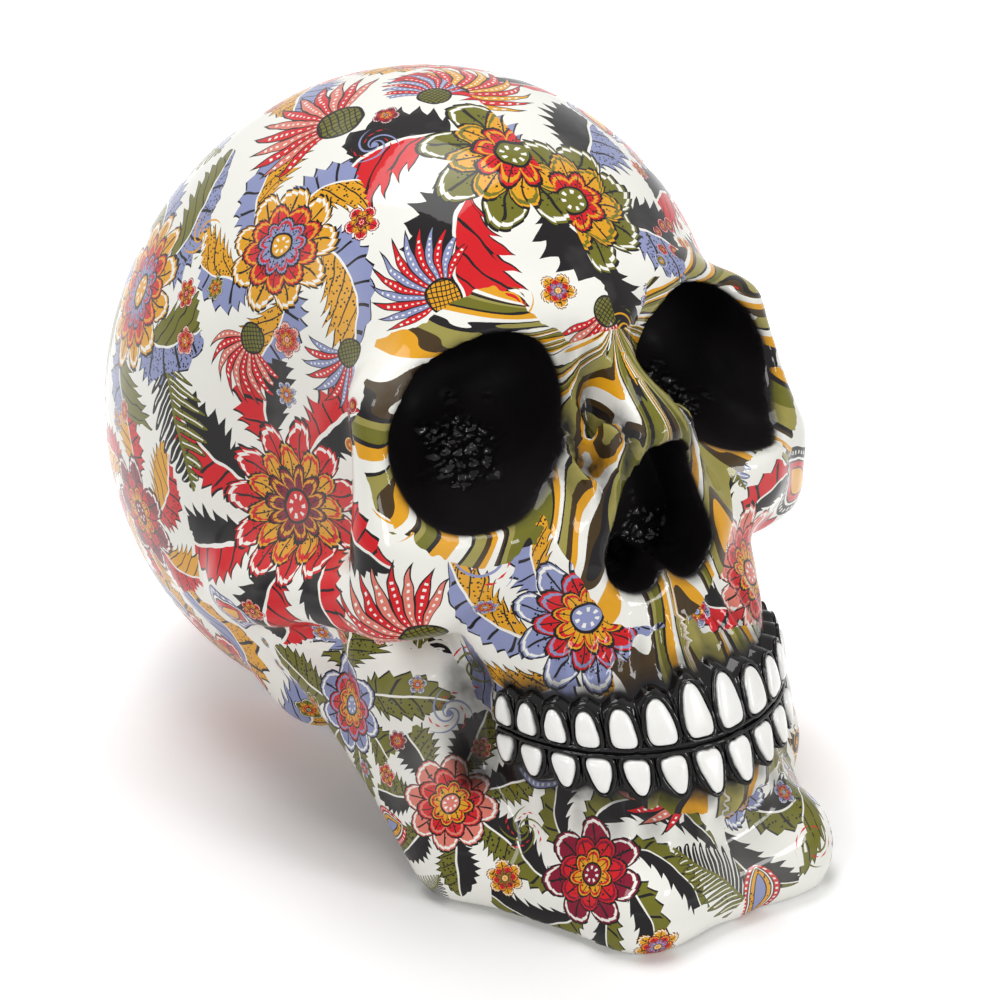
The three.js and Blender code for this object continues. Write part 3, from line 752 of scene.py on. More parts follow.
# A bloom has three rings of petals, each with its own outline, rim, rib and dotted shade.
bloom_tree, (x, y), (petals, notch, frill), stipple, inks = motif_group("bloom")
near, far, heart, charcoal, ivory = inks
radius, turn = length_and_turn(x, y)
picture = ivory
cover = None
for reach, shift, colour, rim in ((0.97, 0.0, near, ivory), (0.70, 0.5, far, near), (0.46, 0.0, heart, far)):
    petal = (turn * petals + shift).fraction() - 0.5
    ruffle = ((turn * petals * 6).fraction() - 0.5) * 0.1 * frill
    edge = (1 - notch * (abs(petal) * 2) ** 2.2 + ruffle) * reach
    body = radius < edge - 0.04
    cover = cover or radius < edge
    picture = paint(picture, (charcoal, radius < edge),
                    (colour, body * (abs(petal) < 0.5 - 0.07 * notch)),
                    (rim, body * (radius > edge - 0.12) * (radius < edge - 0.07)),
                    (charcoal, body * (abs(petal) < 0.03) * (radius < edge * 0.85)),
                    (charcoal, body * stipple * (radius < edge * 0.72)))
stamens = (abs((turn * 7).fraction() - 0.5) < 0.2) * (radius > 0.08) * (radius < 0.135)
picture = paint(picture, (charcoal, radius < 0.2), (near, radius < 0.165), (ivory, stamens))
finish_group(bloom_tree, picture, cover)

# A thistle is a netted bud with a fan of tapering strokes above it.
thistle_tree, (x, y), (strokes, spread, curl), _, inks = motif_group("thistle")
near, far, heart, charcoal, ivory = inks
radius, turn = length_and_turn(y + 0.6, x)
fan = (turn + curl * radius * radius * 0.2) / spread
lane = (fan + 0.5) * strokes
share = radius / (1.55 - fan * fan * 1.5)
width = ((1 - share) * 2.6).at_least(0).at_most(1) * 0.5
stroke = abs(lane.fraction() - 0.5)
cover = (abs(fan) < 0.5) * (share < 1) * (stroke < width)
second_ink = (lane.math("FLOOR") / 2).fraction() > 0.25
dots = (stroke < 0.1) * (abs((radius * 9).fraction() - 0.5) < 0.22) * (share < 0.8)
bud = ((x / 0.34) ** 2 + ((y + 0.6) / 0.36) ** 2) ** 0.5
net = abs(((x + y) * 8).fraction() - 0.5).at_most(abs(((x - y) * 8).fraction() - 0.5))
picture = paint(near, (far, second_ink), (ivory, dots), (charcoal, stroke > width - 0.09), (heart, bud < 1),
                (charcoal, (bud < 1) * (net < 0.12)), (charcoal, (bud < 1) * (bud > 0.88)))
finish_group(thistle_tree, picture, cover.at_least(bud < 1))

# A paisley is a bent drop inside a dotted border.
paisley_tree, (x, y), (plump, bend, _), stipple, inks = motif_group("paisley")
near, far, heart, charcoal, ivory = inks
share = ((y + 0.95) / 1.9).at_least(0).at_most(1)
half = (share ** 0.7 * math.pi).math("SINE").at_least(0) ** 0.8 * 0.6 * plump
inset = half - abs(x - bend * y * y)
dots = (abs((y * 8).fraction() - 0.5) < 0.2) * (inset > 0.07) * (inset < 0.14)
lines = [(charcoal, (inset > inner) * (inset < inner + 0.035)) for inner in (0.0, 0.17, 0.25, 0.40)]
picture = paint(near, (ivory, dots), (ivory, inset > 0.2), (far, inset > 0.27),
                (charcoal, (inset > 0.27) * stipple), (heart, inset > 0.42), *lines)
finish_group(paisley_tree, picture, inset > 0)

# A fern has pairs of leaflets along a bent stem.
fern_tree, (x, y), (pairs, bend, _), stipple, inks = motif_group("fern")
near, far, heart, charcoal, ivory = inks
x = x - bend * (y * y - 0.4)
leaflet = abs(((y - abs(x) * 0.75) * pairs / 2).fraction() - 0.5)
reach = 0.66 * (1 - ((y + 0.25) / 1.2) ** 2).at_least(0.01)
taper = (1 - (abs(x) / reach) ** 2).at_least(0) ** 0.5 * 0.44
body = leaflet < taper - 0.08
stem = (abs(x) < 0.03) * (abs(y) < 0.95)
picture = paint(charcoal, (near, body), (far, body * (x > 0)), (charcoal, body * stipple * (leaflet > 0.12)),
                (ivory, body * (leaflet < 0.06) * (abs(x) < reach * 0.8)), (heart, stem))
finish_group(fern_tree, picture, (leaflet < taper).at_least(stem) * (abs(y) < 0.95))

# A scroll is a set of spiral arms with beads between them.
scroll_tree, (x, y), (arms, wind, _), _, inks = motif_group("scroll")
near, far, *_ = inks
radius, turn = length_and_turn(x, y)
swirl = (turn * arms + radius.at_least(0.01).math("LOGARITHM", math.e) * wind).fraction()
arm = abs(swirl - 0.5) < 0.2 * (1 - radius)
bead = (abs(swirl) < 0.12) * (abs((radius * 7).fraction() - 0.5) < 0.24) * (radius > 0.45) * (radius < 0.9)
picture = far.over(near, bead)
finish_group(scroll_tree, picture, arm.at_least(bead).at_least(radius < 0.13))

# Leaves spread out around the large blooms, with saw-toothed edges and light midribs.
leaf_tree, (x, y), (count, length, curl), stipple, inks = motif_group("leaves")
near, far, _, charcoal, ivory = inks
radius, turn = length_and_turn(x, y)
along = (radius - 0.7) / (0.55 + length)
blade = ((turn + curl * (radius - 0.8)) * count).fraction() - 0.5
side = blade * radius * (2 * math.pi) / count
width = (along * math.pi).math("SINE").at_least(0) ** 0.7 * 2.9 / count
edge = width + ((along * 9).fraction() - 0.5) * abs(side) * 0.34
body = abs(side) < edge - 0.03
vein = ((along * 6 - abs(side) * 2.4).fraction() < 0.13) * (abs(side) < edge - 0.07)
picture = paint(charcoal, (near, body), (far, (side > 0) * body), (charcoal, vein),
                (charcoal, stipple * (side < 0) * body), (ivory, abs(side) < 0.02))
finish_group(leaf_tree, picture, (abs(side) < edge) * (along > 0) * (along < 1))


def attribute(tree, name, output="Fac"):
    node = tree.nodes.new("ShaderNodeAttribute")
    node.attribute_name = name
    return Wire(tree, node.outputs[output])


def texture(tree, kind, scale, output, place=None, **inputs):
    """A texture with that many cells to the metre over the piece's own coordinates, or over another place."""
    node = add_node(tree, f"ShaderNodeTex{kind}", Scale=scale, **inputs)
    place = place or Wire(tree, tree.nodes.new("ShaderNodeTexCoord").outputs["Object"])
    tree.links.new(place.socket, node.inputs["Vector"])
    return Wire(tree, node.outputs[output])


def draw(tree, group, layer, place, stipple):
    """The colour and cover of one kind of motif, from a layer's attributes."""
    node = tree.nodes.new("ShaderNodeGroup")
    node.node_tree = group
    tree.links.new(place.socket, node.inputs["Place"])
    tree.links.new(stipple.socket, node.inputs["Stipple"])
    tree.links.new(attribute(tree, f"{layer}_shape", "Vector").socket, node.inputs["Shape"])
    for name in ("Near", "Far", "Heart"):
        tree.links.new(attribute(tree, f"{layer}_{name.lower()}", "Color").socket, node.inputs[name])
    return Wire(tree, node.outputs["Color"]), Wire(tree, node.outputs["Cover"])


def drawn_place(tree, layer):
    """A layer's UV map with the small waver of a hand-drawn line."""
    uv = tree.nodes.new("ShaderNodeUVMap")
    uv.uv_map = layer
    shake = texture(tree, "Noise", 150, "Color", Detail=1)
    waver = add_node(tree, "ShaderNodeVectorMath", "MULTIPLY_ADD")
    waver.inputs[1].default_value = (0.16, 0.16, 0)
    connect(tree, (shake.socket, waver.inputs[0]), (uv.outputs["UV"], waver.inputs[2]))
    return Wire(tree, waver.outputs[0])


UMBER = (0.06, 0.035, 0.012)
MOSS = (0.33, 0.29, 0.075)
STREAK_INKS = ((0, OLIVE), (0.11, CHARCOAL), (0.15, OCHRE), (0.27, IVORY), (0.38, CHARCOAL), (0.42, MOSS),
               (0.57, UMBER), (0.66, OCHRE), (0.75, IVORY), (0.85, UMBER), (0.89, CHARCOAL), (0.93, MOSS))


def streaks(tree):
    """Film that was stretched over the face, its inks drawn out into long streaks."""
    flow = attribute(tree, "flow", "Vector")
    bend = texture(tree, "Noise", 0.5, "Fac", flow, Detail=2)
    ramp = tree.nodes.new("ShaderNodeValToRGB")
    ramp.color_ramp.interpolation = "CONSTANT"
    while len(ramp.color_ramp.elements) < len(STREAK_INKS):
        ramp.color_ramp.elements.new(0.5)
    for element, (place, colour) in zip(ramp.color_ramp.elements, STREAK_INKS):
        element.position = place
        element.color = (*colour, 1)
    tree.links.new((parts_of(flow)[0] * 0.55 + bend * 2.8).fraction().socket, ramp.inputs["Fac"])
    return Wire(tree, ramp.outputs["Color"])


def surface(tree, colour, roughness, height, strength, depth, **sockets):
    """The material's shader: its colour, its roughness, its bump and constants on other sockets."""
    shader = add_node(tree, "ShaderNodeBsdfPrincipled", **sockets)
    relief = add_node(tree, "ShaderNodeBump", Strength=strength, Distance=depth * MM)
    output = add_node(tree, "ShaderNodeOutputMaterial")
    connect(tree, (colour.socket, shader.inputs["Base Color"]),
            (roughness.socket, shader.inputs["Roughness"]), (height.socket, relief.inputs["Height"]),
            (relief.outputs["Normal"], shader.inputs["Normal"]),
            (relief.outputs["Normal"], shader.inputs["Coat Normal"]),
            (shader.outputs["BSDF"], output.inputs["Surface"]))
    return shader


printed = plain_material("printed_resin")
tree = printed.node_tree
stipple = texture(tree, "Voronoi", 1250, "Distance") < 0.3
leaf_colour, leaf_cover = draw(tree, leaf_tree, "leaf", drawn_place(tree, "leaf"), stipple)
colour = leaf_colour.over(ink(tree, IVORY), leaf_cover)
place = drawn_place(tree, "bloom")
kind = attribute(tree, "bloom_kind")
for group, number in ((bloom_tree, BLOOM), (thistle_tree, THISTLE), (paisley_tree, PAISLEY),
                      (fern_tree, FERN), (scroll_tree, SCROLL)):
    motif_colour, motif_cover = draw(tree, group, "bloom", place, stipple)
    colour = motif_colour.over(colour, motif_cover * (abs(kind - number) < 0.5))
ragged = texture(tree, "Noise", 90, "Fac", Detail=3)
stretched = attribute(tree, "stretched") + (ragged - 0.5) * 0.9 > 0.5
thin_ink = (texture(tree, "Noise", 35, "Fac", Detail=4) - 0.55).at_least(0) * 0.6
speck = (texture(tree, "Voronoi", 130, "Distance") < 0.03) * (texture(tree, "Noise", 30, "Fac") > 0.5)
# Darkens the print with sprayed black overspray and with painted shade in grooves and hollows. The mouth
# corners' painted shadow comes in with the black paint.
airbrush_and_shade_cover = attribute(tree, "airbrushed") * (0.35 + texture(tree, "Noise", 260, "Fac") * 1.3)
black = attribute(tree, "sprayed_black").at_least(0)
charcoal = ink(tree, CHARCOAL)
colour = paint(colour, (streaks(tree), stretched), (ink(tree, IVORY), thin_ink), (charcoal, speck),
               (charcoal, airbrush_and_shade_cover.at_most(1)), (charcoal, black.at_most(1)))
surface(tree, colour, 0.26 + ragged * 0.12, texture(tree, "Noise", 240, "Fac", Detail=2), strength=0.12,
        depth=0.25, Specular_IOR_Level=0.03, Coat_Weight=0.42, Coat_Roughness=0.03, Coat_IOR=1.42)
for piece in castings:
    piece.data.materials.append(printed)

# Black paint in the sockets and the nose
# The hollows are sprayed black after the film is on, with a soft edge over the rims. The paint pooled in
# their bottoms and dried there in hard crinkles. Round them and the lips the film is drawn out in streaks.
CRINKLES = (dict(at=(24, -34.5, 87), reach=11, depth=1.0), dict(at=(5.6, -54, 69), reach=8, depth=0.7))
PITCH = (0.004, 0.0038, 0.004)
PAINT_EDGE = 0.15
CRINKLE_EDGE = 0.15
FACE_STREAKS = dict(height=86, half=(25, 29))
LIP_STREAKS = dict(height=40, half=(30, 24))
STREAK_SOURCE = 114


def crinkle_share(v):
    """1 in the middle of a crinkled bottom and 0 outside it, and the crinkles' depth there."""
    share = np.zeros(len(v))
    depth = np.zeros(len(v))
    for patch in CRINKLES:
        offset = np.column_stack(half_side(v)) - patch["at"]
        x, _, z = offset.T
        ragged = 0.12 * (np.sin(x * 0.9) + np.sin(z * 1.1 + 2) + np.sin(z * 0.4))
        near = 1 - step_up(0.3, 1, np.linalg.norm(offset, axis=1) / patch["reach"] + ragged)
        depth = np.where(near > share, patch["depth"], depth)
        share = np.maximum(share, near)
    return share, depth


def crinkle(piece):
    """Gives the bottoms finer faces, and raises them into crinkles."""
    work = bmesh.new()
    work.from_mesh(piece.data)
    share, _ = crinkle_share(np.array([f.calc_center_median() for f in work.faces]) / MM)
    edges = {e for f, s in zip(work.faces, share) if s > 0 for e in f.edges}
    bmesh.ops.subdivide_edges(work, edges=list(edges), cuts=2, use_grid_fill=True)
    work.normal_update()
    work.verts.ensure_lookup_table()
    places = np.array([v.co for v in work.verts]) / MM
    share, depth = crinkle_share(places)
    for i in np.flatnonzero(share):
        spot = Vector(places[i])
        height = abs(noise.noise(spot * 0.42)) + 0.6 * abs(noise.noise(spot * 0.95)) - 0.35
        work.verts[i].co += work.verts[i].normal * float(height * share[i] * depth[i] * MM * 2)
    work.to_mesh(piece.data)
    work.free()


def set_values(piece, **values):
    """Writes values of a piece's points, or raises them where the piece has them already."""
    for name, array in values.items():
        layer = piece.data.attributes.get(name)
        if layer:
            before = np.empty(len(array))
            layer.data.foreach_get("value", before)
            array = np.maximum(array, before)
        else:
            layer = piece.data.attributes.new(name, "FLOAT", "POINT")
        layer.data.foreach_set("value", array)


def oval_reach(x, z, height, half):
    """1 on an oval about the middle, seen from the front, and less inside it."""
    return np.hypot(x / half[0], (z - height) / half[1])


crinkled_black = plain_material("crinkled_black")
tree = crinkled_black.node_tree
pooled = attribute(tree, "pooled")
grime = texture(tree, "Noise", 180, "Fac", Detail=3)
colour = ink(tree, PITCH).over(ink(tree, CHARCOAL), grime)
height = texture(tree, "Noise", 700, "Fac", Detail=2) * pooled + grime * 0.3
shader = surface(tree, colour, 0.3 + grime * 0.25, height, strength=0.5, depth=0.4,
                 Specular_IOR_Level=0.03, Coat_Roughness=0.04, Coat_IOR=1.35)
tree.links.new((pooled * 0.9).socket, shader.inputs["Coat Weight"])

crinkle(cranium)
cranium.data.materials.append(crinkled_black)
for piece in castings:
    points = vertex_places(piece)
    x, y, z = points.T
    v = half_side(points)
    sunk = sunk_distance(v)
    wave, near = fold_wave(v)
    # Soft black overspray round the hollows' rims, and painted shade in the grooves of the folds between the
    # eye and the nose.
    shade = np.maximum(0.5 * (1 - step_up(0.3, 2.4, sunk)), near * (0.5 - 0.5 * wave))
    face = 1 - step_up(0.7, 1.15, oval_reach(x, z, **FACE_STREAKS))
    lip = 0.62 * (1 - step_up(0.6, 1.1, oval_reach(x, z, **LIP_STREAKS)))
    rim = 0.58 * (1 - step_up(4, 11, sunk))
    set_values(piece, sprayed_black=np.clip((0.9 - sunk) / 0.5, -3, 3), airbrushed=shade,
               stretched=np.maximum(np.maximum(face, lip) * step_up(38, 48, -y), rim),
               pooled=crinkle_share(points)[0])
    drop = STREAK_SOURCE - z
    away = np.column_stack([np.arctan2(x, drop) * 4.4, np.hypot(x, drop) * 0.03, np.where(x > SEAM_X, 7, 0)])
    piece.data.attributes.new("flow", "FLOAT_VECTOR", "POINT").data.foreach_set("vector", away.ravel())
centres = face_frames(cranium)[0]
deep = sunk_distance(half_side(centres)) < PAINT_EDGE
deep |= crinkle_share(centres)[0] > CRINKLE_EDGE
cranium.data.polygons.foreach_set("material_index", deep.astype(np.int32))

# Gum bands
# Two strips of glossy black enamel, one above and one below the bite, laid over the bone by hand. A raised
# bead runs round every tooth and along the bite, and black is sprayed thinly onto the bone beside the bands.
# The mouth corners and the grooves between the roots get painted shade.
GUM_END = 3.2
GUM_STEP = 0.3
GUM_ABOVE = 4
GUM_SINK = -6
GUM_BACK = -6.6
TOOTH_NAMES = ("central_incisor", "lateral_incisor", "canine", "first_premolar", "second_premolar",
               "first_molar", "second_molar")
PAINT_LAP = (0.32, 0.15)
CROWN_SIDES = 48
CROWN_TURN = np.linspace(0, 2 * math.pi, CROWN_SIDES, endpoint=False)
COLLAR = dict(gap=0.62, out=0.85)
BITE_BEAD = dict(height=0.62, out=0.8, short=4, steps=240)
BEAD_RADIUS = 0.44
BEAD_UNEVEN = 0.8
ENAMEL_SHEEN = (0.006, 0.005, 0.005)
ENAMEL_BLACK = (0.002, 0.002, 0.002)


def on_row(row, along, height, out):
    """Points at distances along a tooth row from the middle, heights from the bite and depths outwards."""
    angle = np.interp(np.abs(along), ROW_RUN, ROW_ANGLES) * np.sign(along)
    ahead = np.stack([np.sin(angle) / ARCH["across"], -np.cos(angle) / ARCH["forward"]])
    ahead /= np.linalg.norm(ahead, axis=0)
    x = ARCH["across"] * np.sin(angle) + ahead[0] * out
    y = ARCH["centre"] - ARCH["forward"] * np.cos(angle) + ahead[1] * out
    z = BITE_HEIGHT + row["way"] * height
    return np.stack([x, ARCH["centre"] + (y - ARCH["centre"]) * row_lean(z), z], axis=-1) * MM


def row_place(row, x, y, z):
    """Distance along a tooth row and height from the bite of points near the row, the reverse of on_row."""
    angle = np.arctan2(np.abs(x) / ARCH["across"], (ARCH["centre"] - y) / row_lean(z) / ARCH["forward"])
    return np.interp(angle, ROW_ANGLES, ROW_RUN) * np.sign(x), row["way"] * (z - BITE_HEIGHT)


def row_teeth(row):
    """Each tooth of a row, with its middle, its half sizes inside the black paint and its own unevenness."""
    teeth = []
    edge = TOOTH_GAP / 2
    for name, width, height in zip(TOOTH_NAMES, row["widths"], row["heights"]):
        half = (width / 2 - PAINT_LAP[0], height / 2 - PAINT_LAP[1])
        for side, way in (("left", 1), ("right", -1)):
            teeth.append(dict(name=f"{row['name']}_{side}_{name}", along=way * (edge + width / 2),
                              height=BITE_MARGIN + height / 2, half=half, taper=row["taper"],
                              uneven=rng.uniform(-1, 1, 6)))
        edge += width + TOOTH_GAP
    return teeth, edge


def crown_reach(tooth, angle):
    """Radius of a crown's outline from its middle: a broad, nearly straight edge and a narrower neck."""
    rise = np.sin(angle)
    power = 3.4 - 1.1 * np.tanh(2 * rise)
    across = tooth["half"][0] * (1 - tooth["taper"] * (rise + 0.55))
    reach = (np.abs(np.cos(angle)) / across) ** power + (np.abs(rise) / tooth["half"][1]) ** power
    u = tooth["uneven"]
    wave = 0.035 * u[0] * np.sin(2 * angle + 3 * u[1]) + 0.03 * u[2] * np.sin(3 * angle + 3 * u[3])
    return reach ** (-1 / power) * (1 + wave + 0.014 * u[4] * np.sin(5 * angle + 3 * u[5]))


def crown_ring(row, tooth, reach, out):
    """Points round a tooth's middle, at a reach for each side of its crown."""
    along = tooth["along"] + reach * np.cos(CROWN_TURN)
    height = tooth["height"] + reach * np.sin(CROWN_TURN)
    return on_row(row, along, height, out)


def crown_gaps(row, along, height):
    """Distances from the outlines of a row's crowns."""
    gaps = []
    for tooth in row["teeth"]:
        s = along - tooth["along"]
        h = height - tooth["height"]
        gaps.append(np.hypot(s, h) - crown_reach(tooth, np.arctan2(h, s)))
    return np.array(gaps)


def rounded_gap(gaps):
    """Distance from the nearest crowns, rounded off between neighbours."""
    return -np.log(np.exp(-0.6 * np.clip(gaps, -8, 30)).sum(axis=0)) / 0.6


def closed_slab(name, front, back):
    """A closed mesh between two grids of points."""
    rows, columns = front.shape[:2]
    index = np.arange(rows * columns).reshape(rows, columns)
    offset = rows * columns
    a, b, c, d = index[:-1, :-1], index[1:, :-1], index[1:, 1:], index[:-1, 1:]
    faces = np.concatenate([np.stack([a, b, c, d], -1).reshape(-1, 4),
                            np.stack([d, c, b, a], -1).reshape(-1, 4) + offset])
    rim = np.concatenate([index[:-1, 0], index[-1, :-1], index[:0:-1, -1], index[0, :0:-1]])
    after = np.roll(rim, -1)
    faces = np.concatenate([faces, np.stack([after, rim, rim + offset, after + offset], -1)])
    mesh = bpy.data.meshes.new(name)
    mesh.from_pydata(np.concatenate([front.reshape(-1, 3), back.reshape(-1, 3)]).tolist(), [], faces.tolist())
    return mesh


def face_outwards(mesh, *more):
    """Merges doubles, turns the faces outwards, and adds other closed meshes."""
    work = bmesh.new()
    work.from_mesh(mesh)
    bmesh.ops.remove_doubles(work, verts=work.verts, dist=1e-6)
    bmesh.ops.recalc_face_normals(work, faces=work.faces)
    for other in more:
        work.from_mesh(other)
    work.to_mesh(mesh)
    work.free()
    mesh.shade_smooth()


def geometry_tree(name, *inputs):
    """A Geometry Nodes tree with named inputs, and its entry."""
    tree = bpy.data.node_groups.new(name, "GeometryNodeTree")
    for label, kind in inputs:
        tree.interface.new_socket(label, in_out="INPUT", socket_type=f"NodeSocket{kind}")
    tree.interface.new_socket("Geometry", in_out="OUTPUT", socket_type="NodeSocketGeometry")
    return tree, tree.nodes.new("NodeGroupInput").outputs


def realize(tree, geometry, material):
    """Ends a tree in one plain mesh of one material."""
    plain = add_node(tree, "GeometryNodeRealizeInstances")
    dress = add_node(tree, "GeometryNodeSetMaterial")
    tree_end = add_node(tree, "NodeGroupOutput")
    connect(tree, (geometry, plain.inputs["Geometry"]), (plain.outputs["Geometry"], dress.inputs["Geometry"]),
            (material, dress.inputs["Material"]), (dress.outputs["Geometry"], tree_end.inputs["Geometry"]))


def grow(tree, mesh, **sizes):
    """The plain mesh that a Geometry Nodes tree makes of a mesh."""
    stock = bpy.data.objects.new(tree.name, mesh)
    scene.collection.objects.link(stock)
    modifier = stock.modifiers.new(tree.name, "NODES")
    modifier.node_group = tree
    for socket in tree.interface.items_tree:
        if socket.in_out == "INPUT" and socket.name in sizes:
            modifier[socket.identifier] = sizes[socket.name]
    result = bpy.data.meshes.new_from_object(stock.evaluated_get(bpy.context.evaluated_depsgraph_get()))
    bpy.data.objects.remove(stock)
    return result


bead_tree, entry = geometry_tree("enamel_bead", ("Lines", "Geometry"), ("Radius", "Float"),
                                 ("Uneven", "Float"), ("Enamel", "Material"))
lines = add_node(bead_tree, "GeometryNodeMeshToCurve")
swell = add_node(bead_tree, "ShaderNodeTexNoise", Scale=420)
thick = add_node(bead_tree, "ShaderNodeMath", "MULTIPLY_ADD")
thick.inputs[2].default_value = 0.6
profile = add_node(bead_tree, "GeometryNodeCurvePrimitiveCircle", Resolution=10)
sweep_bead = add_node(bead_tree, "GeometryNodeCurveToMesh", Fill_Caps=True)
connect(bead_tree, (entry["Lines"], lines.inputs["Mesh"]), (swell.outputs["Fac"], thick.inputs[0]),
        (entry["Uneven"], thick.inputs[1]), (entry["Radius"], profile.inputs["Radius"]),
        (lines.outputs["Curve"], sweep_bead.inputs["Curve"]),
        (profile.outputs["Curve"], sweep_bead.inputs["Profile Curve"]),
        (thick.outputs[0], sweep_bead.inputs["Scale"]))
realize(bead_tree, sweep_bead.outputs["Mesh"], entry["Enamel"])


def line_mesh(name, lines):
    """A mesh of edges only. A line is its points and whether it is closed."""
    points = []
    edges = []
    for line, closed in lines:
        start = len(points)
        points += line.tolist()
        edges += [(start + i, start + i + 1) for i in range(len(line) - 1)]
        if closed:
            edges.append((len(points) - 1, start))
    mesh = bpy.data.meshes.new(name)
    mesh.from_pydata(points, edges, [])
    return mesh


enamel = plain_material("black_enamel")
tree = enamel.node_tree
brushed = texture(tree, "Noise", 520, "Fac", Detail=3)
colour = ink(tree, ENAMEL_SHEEN).over(ink(tree, ENAMEL_BLACK), brushed)
surface(tree, colour, 0.16 + brushed * 0.2, brushed, strength=0.12, depth=0.2,
        Specular_IOR_Level=0.03, Coat_Weight=0.7, Coat_Roughness=0.02, Coat_IOR=1.4)

for row in (UPPER_ROW, LOWER_ROW):
    row["teeth"], length = row_teeth(row)
    end = length - TOOTH_GAP / 2 + GUM_END
    top = BITE_MARGIN + max(row["heights"]) + GUM_ABOVE
    along, height = np.meshgrid(np.arange(-end, end, GUM_STEP), np.arange(0.1, top, GUM_STEP), indexing="ij")
    gaps = crown_gaps(row, along, height)
    first, second = np.sort(gaps, axis=0)[:2]
    uneven = [noise.noise(Vector((s * 0.7, h * 0.5, 3 * row["way"])))
              for s, h in zip(along.ravel(), height.ravel())]
    out = 0.6 + 0.3 * np.reshape(uneven, along.shape)
    out -= 0.9 * np.exp(-((second - first) / 0.5) ** 2) * step_up(0.2, 1, first)
    out -= 8 * step_up(0.8, 2.2, rounded_gap(gaps))
    out -= 1 - step_up(0.1, 0.7, height)
    out -= 3.2 * (1 - step_up(0, 3, end - np.abs(along)))
    out = np.maximum(out, GUM_SINK)
    band = closed_slab(f"{row['name']}_gum_band", on_row(row, along, height, out),
                       on_row(row, along, height, GUM_BACK))
    lines = []
    for tooth in row["teeth"]:
        reach = crown_reach(tooth, CROWN_TURN) + COLLAR["gap"]
        lines.append((crown_ring(row, tooth, reach, COLLAR["out"]), True))
    run_end = end - BITE_BEAD["short"]
    run = np.linspace(-run_end, run_end, BITE_BEAD["steps"])
    lines.append((on_row(row, run, np.full_like(run, BITE_BEAD["height"]), BITE_BEAD["out"]), False))
    beads = grow(bead_tree, line_mesh("bead_lines", lines), Radius=BEAD_RADIUS * MM, Uneven=BEAD_UNEVEN,
                 Enamel=enamel)
    face_outwards(band, beads)
    band.materials.clear()
    band.materials.append(enamel)
    add_piece(band.name, band, f"{row['name']}_gum")

for piece in castings:
    points = vertex_places(piece)
    x, y, z = points.T
    v = half_side(points)
    ahead = step_up(-4, 3, ARCH["centre"] - y) * step_up(0.8, 0.92, row_reach(v, z)[0])
    # The mouth corner is painted black, with painted shade round it, in place of the shadow in its hollow.
    corner = bar(v, **MOUTH_CORNER)
    black = np.clip((1.2 - corner) / 1.6, -3, 0.96)
    shade = 0.7 * (1 - step_up(0.5, 4.5, corner))
    for row in (UPPER_ROW, LOWER_ROW):
        gap = rounded_gap(crown_gaps(row, *row_place(row, x, y, z)))
        black = np.maximum(black, np.where(ahead > 0.4, np.clip((2.4 - gap) / 0.8, -3, 3), -3))
        shade = np.maximum(shade, ahead * 0.7 * (1 - step_up(2.2, 5.5, gap)))
        # Painted shade in the grooves between the roots.
        shade = np.maximum(shade, (0.2 - 0.2 * root_wave(v, row)) * root_zone(v, row, 22))
    set_values(piece, sprayed_black=black, airbrushed=shade)

# Teeth
# Crowns of white enamel, each set in the bead of its gum band. They are painted by hand, so no two have quite
# the same outline, and the black of the gum runs a little onto their edges.
TOOTH_SHADE = (0.80, 0.785, 0.72)
TOOTH_WHITE = (0.89, 0.885, 0.86)
CROWN_RINGS = ((1.0, -1.4), (1.0, 0.8), (0.985, 1.15), (0.955, 1.45), (0.90, 1.68), (0.80, 1.86), (0.62, 2.0),
               (0.40, 2.07), (0.18, 2.1))
BAND_FRONT = 0.8
BLACK_RIM = 1.3

tooth_white = plain_material("tooth_white")
tree = tooth_white.node_tree
cloud = texture(tree, "Noise", 160, "Fac", Detail=3)
colour = ink(tree, TOOTH_SHADE).over(ink(tree, TOOTH_WHITE), (cloud - 0.45).at_least(0) * 2.2)
smear = attribute(tree, "rim") + (texture(tree, "Noise", 450, "Fac", Detail=2) - 0.5) * 0.12
colour = ink(tree, CHARCOAL).over(colour, ((smear - 0.97) * 20).at_least(0).at_most(1))
surface(tree, colour, 0.2 + cloud * 0.2, cloud, strength=0.25, depth=0.35,
        Specular_IOR_Level=0.4, Coat_Weight=0.6, Coat_Roughness=0.05, Coat_IOR=1.4)


def ring_mesh(name, rings):
    """A mesh of rings of points in metres, each joined to the next."""
    rings = np.stack(rings)
    count, sides = rings.shape[:2]
    index = np.arange(count * sides).reshape(count, sides)
    after = np.roll(index, -1, axis=1)
    faces = np.stack([index[:-1], after[:-1], after[1:], index[1:]], axis=-1).reshape(-1, 4)
    mesh = bpy.data.meshes.new(name)
    mesh.from_pydata(rings.reshape(-1, 3).tolist(), [], faces.tolist())
    return mesh


def crown_mesh(row, tooth):
    """A closed crown of rings from its root, behind the band, to the middle of its face."""
    reach = crown_reach(tooth, CROWN_TURN)
    rings = [(0, CROWN_RINGS[0][1]), *CROWN_RINGS, (0, CROWN_RINGS[-1][1])]
    mesh = ring_mesh(f"{tooth['name']}_crown",
                     [crown_ring(row, tooth, share * reach, out) for share, out in rings])
    rim = np.repeat([BLACK_RIM if out < BAND_FRONT else share for share, out in rings], CROWN_SIDES)
    mesh.attributes.new("rim", "FLOAT", "POINT").data.foreach_set("value", rim)
    return mesh


for row in (UPPER_ROW, LOWER_ROW):
    for tooth in row["teeth"]:
        mesh = crown_mesh(row, tooth)
        face_outwards(mesh)
        mesh.materials.append(tooth_white)
        add_piece(mesh.name, mesh, tooth["name"])

